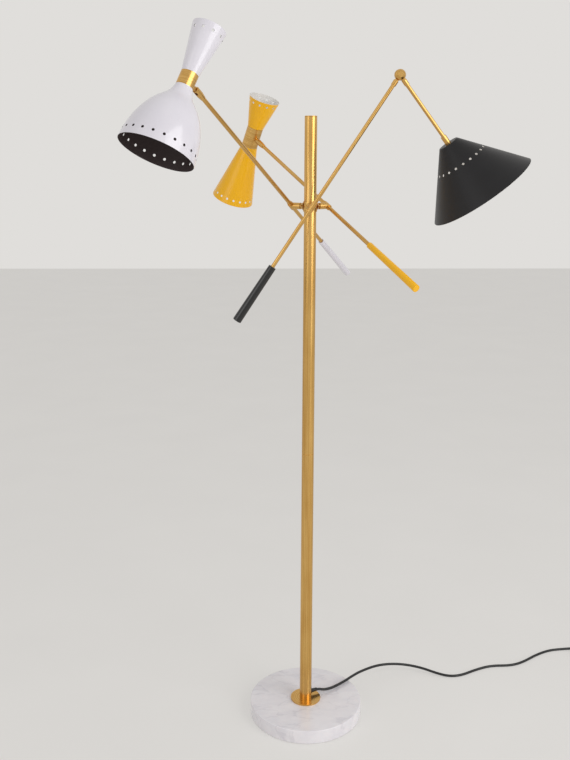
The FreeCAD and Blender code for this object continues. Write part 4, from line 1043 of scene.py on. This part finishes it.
# ---------------------------------------------------------------- cord, coil and plug
@dataclass
class Lead:
    """The mains cord from the pole's foot to its plug, with the put-away length in a small coil."""

    diameter: float = 7.0
    length: float = 1.76
    mouth: tuple[float, float, float] = (19.053, 11.0, 51.0)
    coil_x: float = 890.0
    coil_y: float = 229.5
    coil_r: float = 47.5
    pitch: float = 7.5
    lift: float = 4.7
    layer_turns: float = 1.25
    points_per_turn: int = 14
    mouth_r: float = 22.0
    bush_out: float = 6.0
    bush_in: float = 3.0
    bush_bore: float = 3.55
    ribs: int = 5
    rib_pitch: float = 3.0
    rib_taper: float = 0.17
    rib_deep: float = 0.45
    block: tuple[float, float, float] = (35.6, 26.6, 24.0)
    block_at: float = 42.9
    block_edge: float = 6.5
    waist_half: float = 12.0
    waist: float = 0.94
    pin_at: float = 60.6
    pin_side: float = 9.5

    @property
    def turns(self) -> float:
        """All turns of the coil: two layers, and the half turn that climbs between them."""
        return self.layer_turns * 2 + 0.5

    def route(self) -> list[tuple[float, float, float]]:
        """The way of the cord over the marble, in a low arch and along the floor.

        Returns:
            Its points, in millimetres.
        """
        return [
            self.mouth, (34, 18.5, 50.2), (52, 21.5, 45.5), (71, 31, 43),
            (92, 46, 42.6), (117, 67, 42.8), (140, 91, 42.3), (166, 116, 40.5),
            (216, 153, 35.5), (264, 171, 29.5), (310, 176, 22.5), (354, 170, 15),
            (396, 153, 7), (430, 142, 3.6), (467, 146, 3.6), (515, 173, 3.6),
            (566, 193, 3.6), (625, 191, 3.6), (667, 208, 3.6), (720, 247, 3.6),
            (766, 270, 3.6), (806, 276, 3.6), (846, 277, 4.7),
        ]

    def coil_point(self, made: float) -> tuple[float, float, float]:
        """A point of the coil, which winds inwards on the floor and outwards on top.

        Args:
            made: How many turns the cord has made.

        Returns:
            The point, in millimetres.
        """
        radius = self.coil_r - self.pitch * min(made, self.turns - made)
        climb = min(max((made - self.layer_turns) * 2, 0), 1)
        height = self.lift + self.pitch * (1 - math.cos(math.pi * climb)) / 2
        angle = math.pi / 2 - 2 * math.pi * made
        x = self.coil_x + radius * math.cos(angle)
        return (x, self.coil_y + radius * math.sin(angle), height)

    def build(self) -> None:
        """Builds the cord, its plug and its sleeve, and dresses the strap and the inner cable."""
        steps = round(self.turns * self.points_per_turn)
        points = self.route()
        points.append((self.coil_x - self.diameter, self.coil_y + self.coil_r, self.lift))
        points += [self.coil_point(self.turns * i / steps) for i in range(steps + 1)]
        last = points[-1]
        end = (last[0] + self.diameter * 2, last[1], last[2])
        points.append(end)
        curve = bpy.data.curves.new("mains_cord", "CURVE")
        curve.dimensions = "3D"
        curve.resolution_u = 10
        curve.bevel_depth = self.diameter / 2 * MM
        curve.bevel_resolution = 5
        curve.use_fill_caps = True
        spline = curve.splines.new("NURBS")
        spline.points.add(len(points) - 1)
        for target, point in zip(spline.points, points):
            target.co = (*(c * MM for c in point), 1.0)
        spline.order_u = 3
        spline.use_endpoint_u = True
        curve.materials.append(CORD_PVC.material())
        piece = add_object("mains_cord", curve)
        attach(piece, "stand")
        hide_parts("cord_lead", "cord_coil")
        log.info("mains_cord: %d points", len(points))
        plug = self.build_plug(Vector(end))
        bush = self.build_bush()
        dress_node("cord_tie", PLUG_PVC.material())
        dress_node("inner_cable", CORD_PVC.material())

    def build_bush(self) -> bpy.types.Object:
        """Builds the ribbed, tapered sleeve that keeps the cord straight as it leaves the pole.

        Returns:
            The sleeve.
        """
        bore = self.bush_bore
        outline = [(bore, 0), (4.95, 0), (4.95, 3.6), (6.0, 3.6), (6.0, 5.4), (5.3, 6.2)]
        for rib in range(self.ribs):
            crest = 5.3 - self.rib_taper * rib
            groove = crest - self.rib_deep
            start = 6.8 + self.rib_pitch * rib
            outline += [(crest, start), (groove, start + 0.5)]
            outline += [(groove, start + 1.4), (crest - 0.12, start + 1.9)]
        outline += [(4.4, 22.4), (4.2, 23.0), (bore, 23.0)]
        mesh = turn_outline(outline, 40, closed=True)
        soften(mesh, 0.15, segments=2)
        centre = Vector((0, 0, self.mouth[2]))
        hole = Vector(self.mouth).lerp(centre, self.bush_out / self.mouth_r)
        outward = (Vector(self.route()[1]) - hole).normalized()
        place = place_along((hole - outward * self.bush_in) * MM, outward, UP)
        piece = finish_piece(mesh, "cord_sleeve", place, [PLUG_PVC.material()], "stand")
        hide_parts("cord_bush")
        return piece

    def build_plug(self, start: Vector) -> bpy.types.Object:
        """Builds the two-pin plug with its ribbed sleeve.

        Args:
            start: Where the cord enters it, in millimetres.

        Returns:
            The plug.
        """
        sleeve = [(0, 0), (3.9, 0), (4.6, 6), (4.1, 7), (4.1, 8), (5.0, 9), (5.2, 13), (4.6, 14)]
        sleeve += [(4.6, 15), (5.5, 16), (5.9, 21), (5.9, 25.5), (0, 25.5)]
        whole = turn_outline(sleeve, 32)
        level = Matrix.Rotation(math.pi / 2, 4, "Y")
        bmesh.ops.rotate(whole, cent=(0, 0, 0), matrix=level.to_3x3(), verts=whole.verts)
        block = bmesh.new()
        bmesh.ops.create_cube(block, size=1)
        bmesh.ops.scale(block, vec=self.block, verts=block.verts)
        bmesh.ops.bevel(
            block,
            geom=block.edges[:],
            offset=self.block_edge,
            offset_type="OFFSET",
            affect="EDGES",
            segments=5,
            profile=0.5,
            material=-1,
        )
        waist = [v for v in block.verts if abs(v.co.x) < self.waist_half]
        bmesh.ops.scale(block, vec=(1, self.waist, self.waist), verts=waist)
        join_mesh(whole, block, Matrix.Translation((self.block_at, 0, 0)))
        for side in (-self.pin_side, self.pin_side):
            pin = turn_outline([(0, 0), (1.95, 0), (1.95, 16.5), (1.2, 18.6), (0, 18.9)], 24)
            first = len(whole.faces)
            join_mesh(whole, pin, Matrix.Translation((self.pin_at, side, 0)) @ level)
            whole.faces.ensure_lookup_table()
            for face in whole.faces[first:]:
                face.material_index = 1
        place = Matrix.Translation(start * MM)
        materials = [PLUG_PVC.material(), STEEL.material()]
        piece = finish_piece(whole, "mains_plug", place, materials, "stand", 50)
        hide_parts("plug")
        return piece


# ---------------------------------------------------------------- floor, light and camera
@dataclass
class Studio:
    """A pale floor, soft light and the camera of the photograph."""

    backdrop: str = "#E0DEDB"
    sky: str = "#FFFDFA"
    paleness: float = 0.55
    world_light: float = 0.5
    floor_half: float = 9.0
    aim: tuple[float, float, float] = (0, 0, 1.1)
    lens: float = 44.75
    sensor: float = 36.0
    eye: tuple[float, float, float] = (-0.1823, -2.4133, 1.5487)
    heading: float = 2.865
    pitch: float = 7.0
    roll: float = 0.365
    shift: tuple[float, float] = (-0.00116, -0.1622)

    def build(self) -> None:
        """Builds the floor, the world, the lamps and the camera."""
        self.build_floor()
        self.build_world()
        self.build_lamps()
        self.build_camera()
        bpy.context.scene.view_settings.view_transform = "Standard"

    def build_floor(self) -> None:
        """Builds the floor, which is paler where the camera and reflections see it."""
        mesh = bmesh.new()
        bmesh.ops.create_grid(mesh, x_segments=8, y_segments=8, size=self.floor_half)
        data = bpy.data.meshes.new("floor")
        mesh.to_mesh(data)
        mesh.free()
        made = FLOOR_PAINT.material()
        tree = made.node_tree
        share = {0: self.seen_rays(tree), 1: self.paleness}
        paler = add_node(tree, "ShaderNodeMath", share, operation="MULTIPLY")
        pale = add_node(tree, "ShaderNodeEmission", {"Color": linear(self.backdrop)})
        both = {0: paler, 1: tree.nodes["Principled BSDF"], 2: pale}
        seen = add_node(tree, "ShaderNodeMixShader", both)
        connect(tree, tree.nodes["Material Output"], {"Surface": seen})
        data.materials.append(made)
        floor = add_object("floor", data)

    def build_world(self) -> None:
        """Lights the scene evenly, and shows a pale background to the camera and in reflections."""
        world = bpy.data.worlds.new("studio")
        bpy.context.scene.world = world
        world.use_nodes = True
        tree = world.node_tree
        tree.nodes.clear()
        even = {"Color": linear(self.sky), "Strength": self.world_light}
        light = add_node(tree, "ShaderNodeBackground", even)
        shown = {"Color": linear(self.backdrop), "Strength": 1.0}
        pale = add_node(tree, "ShaderNodeBackground", shown)
        both = {0: self.seen_rays(tree), 1: light, 2: pale}
        mixed = add_node(tree, "ShaderNodeMixShader", both)
        add_node(tree, "ShaderNodeOutputWorld", {"Surface": mixed})

    def seen_rays(self, tree: Tree) -> Source:
        """Tells the rays that show the background from those that only light the lamp.

        Args:
            tree: The node tree.

        Returns:
            1 for camera, glossy and transmission rays, and 0 for the others.
        """
        path = add_node(tree, "ShaderNodeLightPath", {})
        seen = path.outputs["Is Camera Ray"]
        for kind in ("Is Glossy Ray", "Is Transmission Ray"):
            either = {0: seen, 1: path.outputs[kind]}
            seen = add_node(tree, "ShaderNodeMath", either, operation="MAXIMUM")
        return seen

    def build_lamps(self) -> None:
        """Hangs a large soft light at the right and a weaker one at the left."""
        places = (
            ("key light", (2.5, -2.3, 2.3), 2.4, 3.2, 62.0),
            ("fill light", (-2.7, -2.5, 2.2), 2.4, 3.0, 22.0),
        )
        for name, position, width, height, watts in places:
            light = bpy.data.lights.new(name, "AREA")
            light.shape = "RECTANGLE"
            light.size = width
            light.size_y = height
            light.energy = watts
            item = add_object(name, light)
            item.location = position
            towards = Vector(self.aim) - Vector(position)
            item.rotation_euler = towards.to_track_quat("-Z", "Y").to_euler()

    def build_camera(self) -> None:
        """Sets the camera where the photograph was taken."""
        data = bpy.data.cameras.new("camera")
        data.lens = self.lens
        data.sensor_width = self.sensor
        data.shift_x, data.shift_y = self.shift
        heading = math.radians(self.heading)
        pitch = math.radians(self.pitch)
        level = math.cos(pitch)
        forward = Vector((math.sin(heading) * level, math.cos(heading) * level, -math.sin(pitch)))
        right = Vector((math.cos(heading), -math.sin(heading), 0))
        above = right.cross(forward)
        turn = math.radians(self.roll)
        rolled = right * math.cos(turn) + above * math.sin(turn)
        top = above * math.cos(turn) - right * math.sin(turn)
        camera = add_object("camera", data)
        axes = Matrix((rolled, top, -forward)).transposed().to_4x4()
        camera.matrix_world = Matrix.Translation(self.eye) @ axes
        bpy.context.scene.camera = camera


# ---------------------------------------------------------------- the lamp
# The white bell's outline: distance from its neck and outer radius, in millimetres.
BELL = [
    (0, 19.5), (4, 20.2), (10, 22.0), (15, 24.1), (20, 26.6),
    (26, 30.6), (32, 36.0), (38, 41.6), (44, 46.8), (50, 51.5),
    (58, 56.9), (67, 62.2), (76, 66.5), (88, 71.6), (100, 75.6),
    (112, 78.7), (124, 81.1), (134, 82.5), (145, 83.5), (156, 84.0),
]


def main() -> None:
    """Builds the room and the cord, then the lamp from its foot up."""
    logging.basicConfig(level=logging.INFO, format="%(message)s")
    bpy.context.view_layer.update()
    Studio().build()
    Lead().build()
    Foot().build()
    Pole().build()
    Arm("black", BLACK_GLOSS, "black_elbow", 343, 165, 20, 23).build()
    Arm("white", WHITE_ENAMEL, "white_head_tilt", 428, 217, 15.5, 19).build()
    Arm("yellow", YELLOW_ENAMEL, "yellow_head_tilt", 397, 198, 16, 18.5).build()
    DoubleHead(
        "white",
        joint_to_axis=41,
        roll=8.4,
        collar_long=32,
        inset=8,
        foot_d=35.9,
        big=Shade("white_bell", BELL, 13.5, 22, 138, WHITE_ENAMEL, INNER_DARK),
        small=Shade(
            "white_cone", [(0, 19.5), (112, 38.5)], 13.5, 10, 96, WHITE_ENAMEL, INNER_DARK
        ),
    ).build()
    DoubleHead(
        "yellow",
        joint_to_axis=39,
        roll=-5.3,
        collar_long=60,
        inset=20,
        foot_d=42.9,
        big=Shade(
            "yellow_cone", [(0, 23), (172, 61)], 13.5, 18, 157, YELLOW_ENAMEL, INNER_WHITE
        ),
        small=Shade(
            "yellow_cup", [(0, 23), (88, 44.5)], 13.5, 12, 76, YELLOW_ENAMEL, INNER_WHITE
        ),
    ).build()
    ConeHead(
        Shade("black_cone", [(0, 26), (150, 143)], 4.53, 20, 54, BLACK_ENAMEL, INNER_WHITE)
    ).build()


if __name__ == "__main__":
    main()
